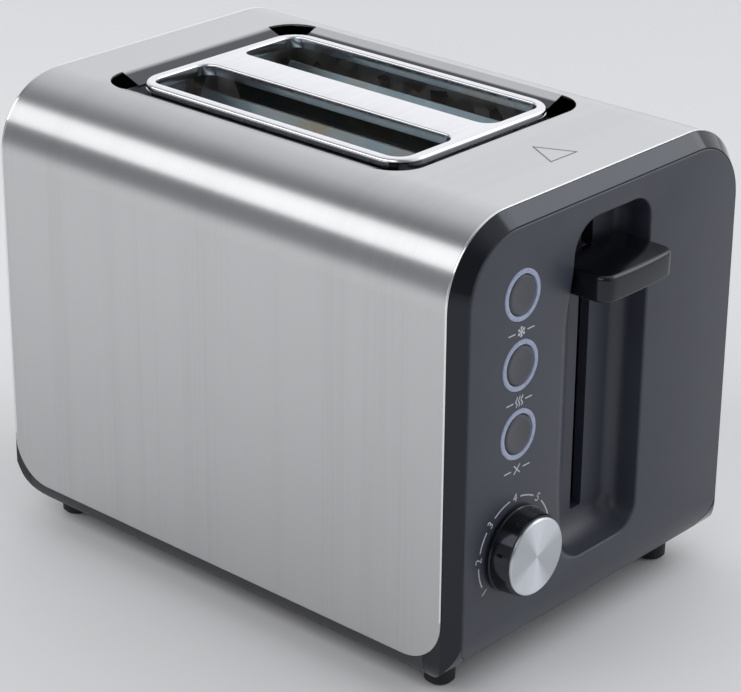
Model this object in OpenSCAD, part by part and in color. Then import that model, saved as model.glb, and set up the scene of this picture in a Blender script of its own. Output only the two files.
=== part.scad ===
// Two-slot pop-up toaster: a folded steel wrap between two moulded end caps, a control
// panel with a sprung lever, three buttons and a browning dial, and the works inside.
// X runs along the slots towards the controls, Y across them, Z up from the table.

/* [Body] */
// Length of the steel wrap along the slots
shell_l = 226; // [200:1:280]
// Width across the steel wrap
body_w = 165; // [150:1:210]
// Height of the top above the table
body_h = 184; // [178:1:230]
// Outer radius of the two long top edges
top_r = 30; // [18:1:34]
// Outer radius of the two long bottom edges
low_r = 11; // [8:1:12]
// Sweep under the control end, seen from the side
end_r = 22; // [20:1:30]
// Sweep under the rear end, seen from the side
rear_r = 28; // [22:1:30]
// Thickness of the steel sheet
steel_t = 0.8; // [0.6:0.1:1]
// Rounding of the lower corners of the steel sides
steel_corner_r = 18; // [10:1:20]
// Depth of the control end past the steel, which is also its bevel
cap_d = 5.7; // [4:0.1:7]
// Depth of the rear cap past the steel, which is also its bevel
rear_d = 3; // [2:0.1:6]
// Wall of the moulded parts
wall = 3; // [2.4:0.1:3.4]
// Height of the moulded skirt below the steel
skirt_h = 9.5; // [6:0.5:12]
// Height of a foot
foot_h = 8; // [7:0.5:14]
// Diameter of a foot
foot_d = 12; // [10:0.2:16]

/* [Bread slots] */
// Length of a bread slot
slot_l = 128; // [110:1:134]
// Width of a bread slot
slot_w = 31; // [25:0.5:35]
// Bridge between the two slots
slot_bridge = 18.4; // [16:0.2:24]
// Distance from the rear edge of the steel to the slots
slot_inset = 39.5; // [36:0.5:48]
// Border of the slot frame round the slots
frame_border = 4.5; // [3:0.1:6]
// Depth of the rolled edge of the slot frame
frame_edge = 4.5; // [3:0.1:6]
// Gap between the slot frame and the steel along the sides
well_side = 9.7; // [6:0.1:11]
// Gap between the slot frame and the steel at the rear
well_rear = 10.5; // [6:0.1:12]
// Gap between the slot frame and the steel at the controls
well_front = 7.5; // [6:0.1:10]

/* [Lever] */
// Offset of the lever from the middle of the body
lever_y = 1.25; // [-3:0.25:3]
// Depth of the lever below the top, at rest
lever_drop = 36; // [32:1:44]
// Width of the lever knob
lever_w = 41; // [30:1:42]
// Thickness of the lever knob at its front
lever_t = 9.8; // [8:0.2:12]
// How far the knob stands out of the panel
lever_out = 13.5; // [8:0.5:16]
// Downward travel of the lever
travel = 88; // [66:1:90]
// Extra upward travel for small slices
lift = 8; // [4:0.5:9]
// Clearance between the knob and the side of its channel
channel_gap = 2.25; // [1.5:0.25:4]
// Depth of the lever channel in the panel
channel_d = 13; // [11:0.5:15]
// Width of the slot in the channel floor
arm_slot_w = 6.5; // [5:0.1:8]

/* [Controls] */
// Distance from the side of the body to the button column
control_inset = 33; // [28:0.5:36]
// Diameter of a button
button_d = 15; // [12:0.2:16]
// Outer diameter of a button's light ring
ring_d = 19.2; // [18:0.2:22]
// Height of the lowest button above the table
button_low = 100.5; // [96:0.5:106]
// Distance between the buttons
button_pitch = 26.3; // [24:0.1:28]
// How far a button can be pressed
button_travel = 1.5; // [1:0.1:2]
// Height of the dial above the table
dial_up = 55.8; // [48:0.2:62]
// Diameter of the dial skirt
dial_d = 33; // [26:0.5:36]
// How far the dial stands out of the panel
dial_out = 10.5; // [8:0.5:16]

/* [Works] */
// Diameter of the carriage guide rod
rod_d = 6; // [5:0.1:8]
// Radial running clearance on the guide rod and the dial shaft
run_gap = 0.05; // [0.02:0.01:0.1]
// Diameter of the dial shaft
shaft_d = 6; // [5:0.1:7]
// Number of upright wires in a bread guard
guard_wires = 9; // [5:1:12]
// Diameter of a guard wire
wire_d = 1.6; // [1.2:0.1:2]
// Number of turns in a heating winding
winding_turns = 11; // [6:1:13]
// Number of cross bars on a bread lifter
lifter_bars = 9; // [5:1:12]
// Height of the crumb tray
tray_h = 6; // [4:0.5:7]
// Bore of the cord bush
cord_d = 7.4; // [6:0.2:9]

/* [Hidden] */
$fn = 48;

// Clearances and small sizes used in more than one place
gap = 0.3;
seam = 0.2;
sheet_t = 1;
mica_t = 1;
panel_t = 2.4;
far = 400;

// Levels
steel_z = foot_h + skirt_h;
floor_z = foot_h + wall;
frame_under = body_h - frame_edge;

// Stations along X, measured from the middle of the steel
steel_x = shell_l / 2;
face_x = steel_x + cap_d;
rear_x = steel_x + rear_d;
cap_seam_x = steel_x - 8;
slot_x = slot_inset + slot_l / 2 - steel_x;
slot_y = (slot_w + slot_bridge) / 2;
frame_x0 = slot_x - slot_l / 2 - frame_border;
frame_x1 = slot_x + slot_l / 2 + frame_border;
frame_y = slot_y + slot_w / 2 + frame_border;
cage_x0 = slot_x - slot_l / 2 - 8;
cage_x1 = slot_x + slot_l / 2 + 8;
cage_y = slot_y + slot_w / 2 + 10;

// Lever and carriage
lever_z = body_h - lever_drop;
channel_w = lever_w + 2 * channel_gap;
channel_z0 = lever_z - travel - 24;
channel_z1 = body_h - 13;
channel_floor_x = face_x - channel_d;
tub_x = channel_floor_x - 2;
shelf_z = lever_z - 26;
yoke_x = cage_x1 + 4;
yoke_t = 1.5;
yoke_z0 = shelf_z - 8;
yoke_h = 10;
arm_y = lever_y + 1.5;
rod_x = cage_x1 + 13;
rod_y = arm_y + 15;
rod_z0 = floor_z;
rod_z1 = frame_under - 2;
rod_shelf_z = rod_z1 - 4.5;
sleeve_r = rod_d / 2 + 2.5;
sleeve_z0 = shelf_z - 8;
sleeve_h = 32;
arm_t = 3;
arm_h = 9;
spring_x = cage_x1 + 12;
spring_y = lever_y - 18;
spring_r = 3.4;
spring_wire = 0.9;
spring_z0 = shelf_z + 2 + spring_wire / 2;
spring_z1 = rod_shelf_z - spring_wire / 2;

// Guards
guard_reach = slot_w / 2 - 2.7;
guard_z0 = floor_z + 17;
guard_z1 = frame_under - 7;

// Electrical parts
board_x = face_x - 22;
board_t = 1.6;
control_y = -(body_w / 2 - control_inset);
board_y0 = control_y - 22;
board_y1 = lever_y - channel_w / 2 - 5;
board_z0 = dial_up - 16;
board_z1 = button_low + 2 * button_pitch + 14;
button_z = [button_low + 2 * button_pitch, button_low + button_pitch, button_low];
armature_z = yoke_z0;
armature_t = 2;
magnet_top = armature_z - armature_t - travel - 0.4;
boss_h = 6;
rear_post_l = rear_x + cage_x0 - sheet_t / 2;
foot_x = steel_x - 15;
foot_y = body_w / 2 - 18;
foot_stem_d = 6;
tray_z = floor_z + 7.5;
tray_y = cage_y - 3;
bush_y = tray_y + 13;
bush_z = floor_z + 35;
tray_x0 = -steel_x + 1;
handle_out = 2.6;

// Mica boards and windings, lever knob, magnet and contacts
mica_z0 = floor_z + 24;
mica_z1 = frame_under - 11;
mica_x0 = cage_x0 + sheet_t / 2;
mica_x1 = cage_x1 - sheet_t / 2;
mica_y = slot_y + slot_w / 2 + 3.4;
mica_tab = 5;
mica_notch = 5;
strand_w = 1.6;
strand_t = 0.4;
knob_x0 = face_x - 10;
knob_x1 = face_x + lever_out;
knob_socket = 8;
magnet_x = yoke_x + 14;
contact_x = cage_x1 + 7;
contact_y = slot_y + 11;

// The frame's origin is under the middle of the whole object
frame_dx = (rear_x + handle_out - face_x - max(dial_out, lever_out)) / 2;

// ---- outlines and blanks ----

module along_x(x0, x1) {
    translate([x0, 0, 0]) rotate([90, 0, 90]) linear_extrude(x1 - x0) children();
}

module along_y(y0, y1) {
    translate([0, y1, 0]) rotate([90, 0, 0]) linear_extrude(y1 - y0) children();
}

// Cross-section of the body in Y and Z, drawn i inside the outer surface
module outline(i = 0) {
    top_c = body_h - top_r;
    low_c = foot_h + low_r;
    for (s = [-1, 1]) {
        translate([s * (body_w / 2 - top_r), top_c]) circle(top_r - i);
        translate([s * (body_w / 2 - low_r), low_c]) circle(low_r - i);
    }
    translate([i - body_w / 2, low_c]) square([body_w - 2 * i, top_c - low_c]);
    translate([top_r - body_w / 2, low_c]) square([body_w - 2 * top_r, body_h - i - low_c]);
    translate([low_r - body_w / 2, foot_h + i]) square([body_w - 2 * low_r, top_c - foot_h - i]);
}

// Side view of the moulded body in X and Z, swept up under both ends
module side_view(i = 0) {
    front_c = face_x - end_r;
    rear_c = rear_x - rear_r;
    translate([front_c, foot_h + end_r]) circle(end_r - i);
    translate([-rear_c, foot_h + rear_r]) circle(rear_r - i);
    translate([-rear_c, foot_h + i]) square([rear_c + front_c, body_h]);
    translate([front_c - 1, foot_h + end_r]) square([end_r + 1 - i, body_h]);
    translate([i - rear_x, foot_h + rear_r]) square([rear_r + 1 - i, body_h]);
}

// Side view of the steel, grown by g
module steel_view(g = 0) {
    corner_x = steel_x - steel_corner_r;
    corner_z = steel_z + steel_corner_r;
    for (s = [-1, 1]) translate([s * corner_x, corner_z]) circle(steel_corner_r + g);
    translate([-corner_x, steel_z - g]) square([2 * corner_x, steel_corner_r + g]);
    translate([-steel_x - g, corner_z]) square([2 * (steel_x + g), body_h]);
}

// Bevelled end of the body: the outline shrinks by d over the depth d
module bevel_end(d) {
    top_c = body_h - top_r;
    side_c = body_w / 2 - top_r;
    for (s = [-1, 1])
        translate([steel_x, s * side_c, top_c]) rotate([0, 90, 0]) cylinder(h = d, r1 = top_r, r2 = top_r - d);
    translate([0, 0, foot_h])
        linear_extrude(top_c - foot_h)
            polygon([
                [steel_x, -body_w / 2], [steel_x + d, d - body_w / 2],
                [steel_x + d, body_w / 2 - d], [steel_x, body_w / 2]
            ]);
    along_y(-side_c, side_c)
        polygon([
            [steel_x, foot_h], [steel_x + d, foot_h],
            [steel_x + d, body_h - d], [steel_x, body_h]
        ]);
}

// The space that the inside of the moulded body takes, i inside its surface
module inner_space(i) {
    intersection() {
        along_x(-far, far) outline(i);
        along_y(-far, far) side_view(i);
    }
}

// Everything that the steel covers, with a seam round it
module steel_zone() {
    difference() {
        along_y(-far, far) steel_view(seam);
        along_x(-far, far) outline(steel_t + seam);
    }
}

module moulded_end(depth) {
    along_x(cap_seam_x + seam, steel_x) outline();
    bevel_end(depth);
}

module rounded_rect(x0, y0, x1, y1, r) {
    for (x = [x0 + r, x1 - r], y = [y0 + r, y1 - r]) translate([x, y]) circle(r);
    translate([x0 + r, y0]) square([x1 - x0 - 2 * r, y1 - y0]);
    translate([x0, y0 + r]) square([x1 - x0, y1 - y0 - 2 * r]);
}

// ---- outer skin ----

module steel_flange(l, inward) {
    drop = frame_edge - steel_t - gap;
    rotate([90, 0, 0])
        translate([0, 0, -l / 2])
            linear_extrude(l)
                polygon([
                    [gap, 0], [0, 0], [-inward, -drop],
                    [-inward, -drop - steel_t], [0, -steel_t], [gap, -steel_t]
                ]);
}

module outer_shell() {
    well_r = 14;
    x0 = frame_x0 - well_rear;
    x1 = frame_x1 + well_front;
    y1 = frame_y + well_side;
    clear = 1.2;
    color([0.78, 0.78, 0.78]) {
        difference() {
            intersection() {
                along_x(-steel_x, steel_x) outline();
                along_y(-far, far) steel_view();
            }
            along_x(-far, far) outline(steel_t);
            translate([0, 0, body_h - 10]) linear_extrude(20) rounded_rect(x0, -y1, x1, y1, well_r);
        }
        translate([(x0 + x1) / 2, y1, body_h])
            rotate([0, 0, 90]) steel_flange(x1 - x0 - 2 * well_r, well_side - clear);
        translate([(x0 + x1) / 2, -y1, body_h])
            rotate([0, 0, -90]) steel_flange(x1 - x0 - 2 * well_r, well_side - clear);
        translate([x1, 0, body_h]) steel_flange(2 * (y1 - well_r), well_front - clear);
        translate([x0, 0, body_h])
            rotate([0, 0, 180]) steel_flange(2 * (y1 - well_r), well_rear - clear);
    }
}

module slot_frame() {
    outer_r = 12;
    slot_r = 6;
    lip = 1;
    color([0.86, 0.86, 0.87])
        difference() {
            translate([0, 0, frame_under])
                linear_extrude(frame_edge) rounded_rect(frame_x0, -frame_y, frame_x1, frame_y, outer_r);
            for (s = [-1, 1])
                translate([0, s * slot_y, frame_under - 1])
                    linear_extrude(frame_edge + 2)
                        rounded_rect(slot_x - slot_l / 2, -slot_w / 2, slot_x + slot_l / 2, slot_w / 2, slot_r);
            // hollow underside, leaving a turned-down lip round the rim and round each slot
            translate([0, 0, frame_under - 1])
                linear_extrude(frame_edge)
                    difference() {
                        rounded_rect(frame_x0 + lip, lip - frame_y, frame_x1 - lip, frame_y - lip, outer_r - lip);
                        for (s = [-1, 1])
                            translate([0, s * slot_y])
                                rounded_rect(
                                    slot_x - slot_l / 2 - lip, -slot_w / 2 - lip,
                                    slot_x + slot_l / 2 + lip, slot_w / 2 + lip, slot_r + lip
                                );
                    }
        }
}

// Outline of the control panel in Y and Z, grown by g: narrower where it sweeps under
module panel_outline(g = 0) {
    edge = cap_d;
    corner = 12;
    half = body_w / 2 - edge + g;
    low = foot_h + corner + 8;
    top_c = body_h - top_r;
    for (s = [-1, 1]) {
        translate([s * (body_w / 2 - top_r), top_c]) circle(top_r - edge + g);
        translate([s * (half - g - corner), low]) circle(corner + g);
    }
    translate([-half, low]) square([2 * half, top_c - low]);
    translate([top_r - body_w / 2, low]) square([body_w - 2 * top_r, body_h - edge + g - low]);
    translate([5.4 - half, foot_h - 1]) square([2 * (half - 5.4), low - foot_h + 1]);
}

module front_rim() {
    ledge = 1.6;
    lip_back = 0.5;
    color([0.05, 0.05, 0.06])
        difference() {
            intersection() {
                moulded_end(cap_d - lip_back);
                along_y(-far, far) side_view();
            }
            inner_space(panel_t + ledge);
            difference() {
                along_x(cap_seam_x - 1, face_x + 1) panel_outline(seam);
                along_y(-far, far) side_view(panel_t);
            }
            along_x(cap_seam_x - 1, face_x + 1) panel_outline(-wall);
            steel_zone();
        }
}

module channel_outline(g = 0) {
    r = 10;
    rounded_rect(lever_y - channel_w / 2 - g, channel_z0 - g, lever_y + channel_w / 2 + g, channel_z1 + g, r + g);
}

module board_posts(d, x0, x1) {
    for (y = [board_y0 + 5, board_y1 - 5], z = [board_z0 + 5, board_z1 - 5])
        translate([x0, y, z]) rotate([0, 90, 0]) cylinder(h = x1 - x0, d = d);
}

module front_panel() {
    post_d = 7;
    screw_hole = 2.6;
    bush_hole = shaft_d + 4.6;
    color([0.3, 0.31, 0.35])
        difference() {
            union() {
                difference() {
                    intersection() {
                        along_x(cap_seam_x + seam, face_x) panel_outline();
                        along_y(-far, far) side_view();
                    }
                    along_y(-far, far) side_view(panel_t);
                }
                along_x(tub_x, face_x - 1) channel_outline(2);
                board_posts(post_d, board_x + board_t, face_x - 1);
            }
            along_x(channel_floor_x, face_x + 1) channel_outline();
            // the slot that the lever arm runs in
            translate([tub_x - 1, arm_y - arm_slot_w / 2, channel_z0 + 4])
                cube([channel_d, arm_slot_w, channel_z1 - channel_z0 - 7]);
            for (z = button_z)
                translate([board_x, control_y, z]) rotate([0, 90, 0]) cylinder(h = 40, d = ring_d);
            translate([board_x, control_y, dial_up]) rotate([0, 90, 0]) cylinder(h = 40, d = bush_hole);
            board_posts(screw_hole, board_x, board_x + board_t + 8);
        }
}

module vents(count, pitch, w, y0, z0, h) {
    for (k = [0:count - 1]) translate([-rear_x - 1, y0 + k * pitch, z0]) cube([wall + 2, w, h]);
}

module rear_screw_places() {
    for (s = [-1, 1], z = [foot_h + 40, body_h - 28]) translate([-rear_x, s * (cage_y - 7), z]) children();
}

module rear_cap() {
    vent_pitch = 8;
    vent_count = 11;
    vent_w = 3;
    vent_y = -(vent_pitch * (vent_count - 1) + vent_w) / 2;
    color([0.05, 0.05, 0.06])
        difference() {
            union() {
                difference() {
                    intersection() {
                        mirror([1, 0, 0]) moulded_end(rear_d);
                        along_y(-far, far) side_view();
                    }
                    inner_space(wall);
                    steel_zone();
                }
                // posts that reach the chassis
                rear_screw_places() translate([1, 0, 0]) rotate([0, 90, 0]) cylinder(h = rear_post_l - 1, d = 8);
            }
            vents(vent_count, vent_pitch, vent_w, vent_y, body_h - 56, 24);
            vents(vent_count, vent_pitch, vent_w, vent_y, floor_z + 55, 20);
            translate([-rear_x - 1, bush_y, bush_z]) rotate([0, 90, 0]) cylinder(h = wall + 2, d = cord_d + 5);
            translate([-rear_x - 1, -tray_y - gap, tray_z - gap])
                cube([rear_r, 2 * (tray_y + gap), tray_h + 2 * gap]);
            rear_screw_places() translate([-1, 0, 0]) rotate([0, 90, 0]) cylinder(h = rear_post_l + 2, d = 3.2);
        }
}

module base_screw_places() {
    for (x = [cage_x0 + 6, cage_x1 - 6], s = [-1, 1]) translate([x, s * (cage_y + 5), foot_h]) children();
}

module foot_places() {
    for (x = [-foot_x, foot_x], y = [-foot_y, foot_y]) translate([x, y, 0]) children();
}

module base() {
    inner_lip = 9;
    rail_t = 1.6;
    color([0.17, 0.17, 0.19])
        difference() {
            union() {
                difference() {
                    intersection() {
                        along_x(-cap_seam_x, cap_seam_x) outline();
                        along_y(-far, far) side_view();
                        translate([-far, -far, 0]) cube([2 * far, 2 * far, steel_z + inner_lip]);
                    }
                    inner_space(wall);
                    steel_zone();
                }
                // bosses that carry the chassis, and rails that the crumb tray slides on
                base_screw_places() translate([0, 0, wall - 0.5]) cylinder(h = boss_h + 0.5, d = 9);
                for (s = [-1, 1])
                    translate([cage_x0 + 2, s * (tray_y - 4) - rail_t / 2, floor_z - 0.5])
                        cube([cage_x1 - cage_x0 - 4, rail_t, tray_z - gap - floor_z + 0.5]);
            }
            base_screw_places() translate([0, 0, -1]) cylinder(h = boss_h + wall + 2, d = 3.2);
            base_screw_places() translate([0, 0, -1]) cylinder(h = 2.8, d = 7);
            foot_places() translate([0, 0, foot_h - 1]) cylinder(h = wall + 4, d = foot_stem_d + 0.2);
            for (k = [-5:5]) translate([slot_x + k * 10 - 1.5, -18, foot_h - 1]) cube([3, 36, wall + 2]);
        }
}

module foot(x, y) {
    color([0.06, 0.06, 0.07])
        difference() {
            translate([x, y, 0]) {
                cylinder(h = 1, d1 = foot_d - 2.6, d2 = foot_d - 0.6);
                translate([0, 0, 1]) cylinder(h = foot_h + 7, d1 = foot_d - 0.6, d2 = foot_d);
            }
            along_y(-far, far) side_view();
        }
    color([0.06, 0.06, 0.07]) translate([x, y, foot_h - 2]) cylinder(h = wall + 4, d = foot_stem_d);
}

// ---- chassis and heating ----

// Upright end plate on two side ears, each with a foot tab turned towards the chamber.
// A head flange turned the same way carries the slot frame.
module bent_sheet(x, turn) {
    tab = 12;
    head = 6.5;
    head_y = frame_y - 10;
    plate_z0 = floor_z + boss_h;
    plate_low = tray_z + tray_h + gap + 0.4;
    ear_y = tray_y + 1.4;
    ear_w = 12;
    translate([x, 0, 0]) {
        translate([-sheet_t / 2, -cage_y, plate_low]) cube([sheet_t, 2 * cage_y, frame_under - plate_low]);
        translate([turn > 0 ? -sheet_t / 2 : sheet_t / 2 - head, -head_y, frame_under - sheet_t])
            cube([head, 2 * head_y, sheet_t]);
        for (s = [-1, 1]) {
            ear_y0 = s > 0 ? ear_y : -ear_y - ear_w;
            translate([-sheet_t / 2, ear_y0, plate_z0]) cube([sheet_t, ear_w, 40]);
            translate([turn > 0 ? -sheet_t / 2 : sheet_t / 2 - tab, ear_y0, plate_z0])
                cube([tab, ear_w, sheet_t]);
        }
    }
}

module lifter_slots(x) {
    clear_w = 5;
    z0 = shelf_z - travel - 12;
    for (s = [-1, 1])
        translate([x - 5, s * slot_y - clear_w / 2, z0]) cube([10, clear_w, travel + lift + 17]);
}

module guard_holes(x) {
    for (s = [-1, 1], t = [-1, 1])
        translate([x - 5, s * slot_y + t * guard_reach, guard_z0])
            rotate([0, 90, 0]) cylinder(h = 10, d = wire_d + 2 * run_gap);
}

module chassis_plate(x, turn) {
    difference() {
        bent_sheet(x, turn);
        lifter_slots(x);
        guard_holes(x);
        base_screw_places() cylinder(h = 30, d = 3.4);
    }
}

module chassis_front() {
    shelf_y0 = spring_y - spring_r - 3;
    shelf_y1 = rod_y + rod_d / 2 + 3;
    color([0.62, 0.64, 0.66])
        difference() {
            union() {
                chassis_plate(cage_x1, -1);
                // shelf that holds the top of the guide rod and of the lift spring
                translate([cage_x1, shelf_y0, rod_shelf_z])
                    cube([rod_x + rod_d / 2 + 3 - cage_x1, shelf_y1 - shelf_y0, sheet_t]);
            }
            translate([rod_x, rod_y, rod_shelf_z - 1]) cylinder(h = sheet_t + 2, d = rod_d);
        }
}

module chassis_rear() {
    color([0.62, 0.64, 0.66])
        difference() {
            chassis_plate(cage_x0, 1);
            rear_screw_places() rotate([0, 90, 0]) cylinder(h = rear_post_l + sheet_t + 1, d = 3);
        }
}

module reflector(s) {
    z0 = tray_z + tray_h + 3;
    z1 = frame_under - 4;
    x0 = cage_x0 + sheet_t / 2;
    x1 = cage_x1 - sheet_t / 2;
    wall_y = cage_y - sheet_t;
    color([0.62, 0.64, 0.66])
        translate([x0, s > 0 ? wall_y : -wall_y - sheet_t, z0]) cube([x1 - x0, sheet_t, z1 - z0]);
}

module reflector_left() { reflector(-1); }

module reflector_right() { reflector(1); }

// Mica board with tabs at its corners that sit in the end plates; the winding goes round its waist
module mica(y) {
    waist_x0 = mica_x0 + mica_tab;
    waist_x1 = mica_x1 - mica_tab;
    low = mica_z0 + mica_notch;
    high = mica_z1 - mica_notch;
    color([0.46, 0.36, 0.26])
        along_y(y - mica_t / 2, y + mica_t / 2)
            polygon([
                [mica_x0, mica_z0], [mica_x1, mica_z0], [mica_x1, low], [waist_x1, low],
                [waist_x1, high], [mica_x1, high], [mica_x1, mica_z1], [mica_x0, mica_z1],
                [mica_x0, high], [waist_x0, high], [waist_x0, low], [mica_x0, low]
            ]);
}

module mica_left() { mica(-mica_y); }

module mica_centre() { mica(0); }

module mica_right() { mica(mica_y); }

// One ribbon wound round a mica board: level runs on one face, sloping runs on the other
module winding(y) {
    x0 = mica_x0 + mica_tab - strand_t;
    x1 = mica_x1 - mica_tab + strand_t;
    pitch = (mica_z1 - mica_z0 - 2 * mica_notch - 6) / winding_turns;
    z0 = mica_z0 + mica_notch + 2;
    color([0.72, 0.68, 0.62])
        for (k = [0:winding_turns - 1]) {
            z = z0 + k * pitch;
            along_y(y - mica_t / 2 - strand_t, y - mica_t / 2)
                polygon([[x0, z], [x1, z], [x1, z + strand_w], [x0, z + strand_w]]);
            along_y(y + mica_t / 2, y + mica_t / 2 + strand_t)
                polygon([[x0, z + pitch], [x1, z], [x1, z + strand_w], [x0, z + pitch + strand_w]]);
            translate([x1 - strand_t, y - mica_t / 2 - strand_t, z])
                cube([strand_t, mica_t + 2 * strand_t, strand_w]);
            translate([x0, y - mica_t / 2 - strand_t, z + (k < winding_turns - 1 ? pitch : 0)])
                cube([strand_t, mica_t + 2 * strand_t, strand_w]);
        }
}

module winding_left() { winding(-mica_y); }

module winding_centre() { winding(0); }

module winding_right() { winding(mica_y); }

// A bread guard: an upright wire comb on a hinge rod, with a flared sheet strip along its top.
// out is the side that the strip flares to.
module guard(y, out) {
    rod_over = 3;
    x0 = cage_x0 + 5;
    x1 = cage_x1 - 5;
    flare = 3.4;
    strip_z0 = guard_z1 - 11;
    strip_t = 0.8;
    color([0.5, 0.56, 0.6]) {
        translate([cage_x0 - rod_over, y, guard_z0])
            rotate([0, 90, 0]) cylinder(h = cage_x1 - cage_x0 + 2 * rod_over, d = wire_d);
        for (k = [0:guard_wires - 1])
            translate([x0 + 2 + k * (x1 - x0 - 4) / (guard_wires - 1), y, guard_z0])
                cylinder(h = strip_z0 + 2 - guard_z0, d = wire_d);
        translate([x0, y, (guard_z0 + strip_z0) / 2]) rotate([0, 90, 0]) cylinder(h = x1 - x0, d = wire_d);
        along_x(x0, x1)
            polygon([
                [y - strip_t / 2, strip_z0], [y + strip_t / 2, strip_z0],
                [y + strip_t / 2, strip_z0 + 3], [y + strip_t / 2 + out * flare, guard_z1],
                [y - strip_t / 2 + out * flare, guard_z1], [y - strip_t / 2, strip_z0 + 3]
            ]);
    }
}

module guard_left_outer() { guard(-slot_y - guard_reach, -1); }

module guard_left_inner() { guard(guard_reach - slot_y, 1); }

module guard_right_inner() { guard(slot_y - guard_reach, -1); }

module guard_right_outer() { guard(slot_y + guard_reach, 1); }

// ---- lift mechanism ----

module guide_rod() {
    color([0.75, 0.76, 0.78])
        translate([rod_x, rod_y, rod_z0]) cylinder(h = rod_z1 - rod_z0, d = rod_d);
}

module carriage() {
    half = slot_y + 5;
    color([0.66, 0.68, 0.7])
        difference() {
            union() {
                translate([rod_x, rod_y, sleeve_z0]) cylinder(h = sleeve_h, r = sleeve_r);
                translate([yoke_x, -half, yoke_z0]) cube([yoke_t, 2 * half, yoke_h]);
                translate([yoke_x, rod_y - sleeve_r, yoke_z0]) cube([rod_x - yoke_x, 2 * sleeve_r, yoke_h]);
                // tab that the lift spring hooks on
                translate([yoke_x, spring_y - 3, yoke_z0 + yoke_h - 1.5])
                    cube([spring_x + 4 - yoke_x, 6, 1.5]);
            }
            translate([rod_x, rod_y, sleeve_z0 - 1]) cylinder(h = sleeve_h + 2, d = rod_d + 2 * run_gap);
        }
}

module lever_arm() {
    stem_x0 = yoke_x + yoke_t;
    stem_x1 = stem_x0 + 10;
    color([0.66, 0.68, 0.7])
        along_y(arm_y - arm_t / 2, arm_y + arm_t / 2)
            polygon([
                [stem_x0, yoke_z0], [stem_x1, yoke_z0],
                [stem_x1, lever_z - arm_h / 2], [knob_x0 + knob_socket, lever_z - arm_h / 2],
                [knob_x0 + knob_socket, lever_z + arm_h / 2], [stem_x0, lever_z + arm_h / 2]
            ]);
}

module lever_knob() {
    back_rise = 3.4;
    corner = 5;
    half = lever_w / 2;
    z0 = lever_z - lever_t / 2;
    z1 = lever_z + lever_t / 2;
    color([0.03, 0.03, 0.035])
        difference() {
            intersection() {
                along_y(lever_y - half, lever_y + half)
                    polygon([
                        [knob_x0, z0], [knob_x1 - 1, z0], [knob_x1, z0 + 1],
                        [knob_x1, z1 - 1.4], [knob_x1 - 1.4, z1], [knob_x0, z1 + back_rise]
                    ]);
                translate([0, lever_y, z0 - 1])
                    linear_extrude(lever_t + back_rise + 2)
                        rounded_rect(knob_x0 - corner, -half, knob_x1, half, corner);
            }
            translate([knob_x0 - 1, arm_y - arm_t / 2, lever_z - arm_h / 2])
                cube([knob_socket + 1, arm_t, arm_h]);
        }
}

module lifter(s) {
    spine_t = 2;
    spine_h = 8;
    bar_w = 12;
    x0 = cage_x0 - 4;
    bar_x0 = cage_x0 + 7;
    bar_x1 = cage_x1 - 7;
    color([0.66, 0.68, 0.7]) {
        translate([x0, s * slot_y - spine_t / 2, shelf_z - spine_h]) cube([yoke_x - x0, spine_t, spine_h]);
        for (k = [0:lifter_bars - 1])
            translate([bar_x0 + k * (bar_x1 - bar_x0) / (lifter_bars - 1) - 0.6, s * slot_y - bar_w / 2, shelf_z - 3])
                cube([1.2, bar_w, 3]);
    }
}

module lifter_left() { lifter(-1); }

module lifter_right() { lifter(1); }

module armature() {
    color([0.4, 0.4, 0.42])
        translate([yoke_x, arm_y - 9, armature_z - armature_t]) cube([magnet_x + 5 - yoke_x, 18, armature_t]);
}

// Points of one ring of the spring wire, at turn t
function coil_ring(t, z, r, wire, sides) = [
    for (k = [0:sides - 1])
        let (a = 360 * k / sides, rr = r + wire / 2 * cos(a))
            [rr * cos(360 * t), rr * sin(360 * t), z + wire / 2 * sin(a)]
];

module helix(r, wire, turns, h, steps, sides) {
    count = turns * steps;
    points = [for (i = [0:count]) each coil_ring(i / steps, h * i / count, r, wire, sides)];
    walls = [
        for (i = [0:count - 1], k = [0:sides - 1])
            let (n = (k + 1) % sides)
                [i * sides + k, i * sides + n, (i + 1) * sides + n, (i + 1) * sides + k]
    ];
    first = [[for (k = [sides - 1:-1:0]) k]];
    last = [[for (k = [0:sides - 1]) count * sides + k]];
    polyhedron(points = points, faces = concat(walls, first, last));
}

module lift_spring() {
    color([0.7, 0.7, 0.72])
        translate([spring_x, spring_y, spring_z0])
            helix(spring_r, spring_wire, 12, spring_z1 - spring_z0, 12, 6);
}

module magnet_bracket() {
    z0 = floor_z;
    color([0.62, 0.64, 0.66]) {
        translate([magnet_x - 5.5, arm_y - 11, z0]) cube([11, 22, 1.5]);
        for (s = [-1, 1]) translate([magnet_x - 5.5, arm_y + s * 10.25 - 0.75, z0]) cube([11, 1.5, 8]);
    }
}

module magnet_core() {
    leg = 4;
    z0 = floor_z + 1.5;
    color([0.35, 0.35, 0.37]) {
        translate([magnet_x - 4, arm_y - 8, z0]) cube([8, 16, 3.5]);
        for (s = [-1, 1])
            translate([magnet_x - 4, arm_y + s * 6 - leg / 2, z0]) cube([8, leg, magnet_top - z0]);
    }
}

module magnet_coil() {
    z0 = floor_z + 5;
    color([0.7, 0.35, 0.15])
        difference() {
            translate([magnet_x - 5.5, arm_y + 2.5, z0]) cube([11, 7, magnet_top - 1.5 - z0]);
            translate([magnet_x - 4, arm_y + 4, z0 - 1]) cube([8, 4, magnet_top]);
        }
}

// ---- controls ----

module control_board() {
    color([0.16, 0.38, 0.22])
        difference() {
            translate([board_x, board_y0, board_z0]) cube([board_t, board_y1 - board_y0, board_z1 - board_z0]);
            board_posts(2.8, board_x - 1, board_x + board_t + 1);
            translate([board_x - 1, control_y, dial_up]) rotate([0, 90, 0]) cylinder(h = board_t + 2, d = 4);
        }
}

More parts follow.
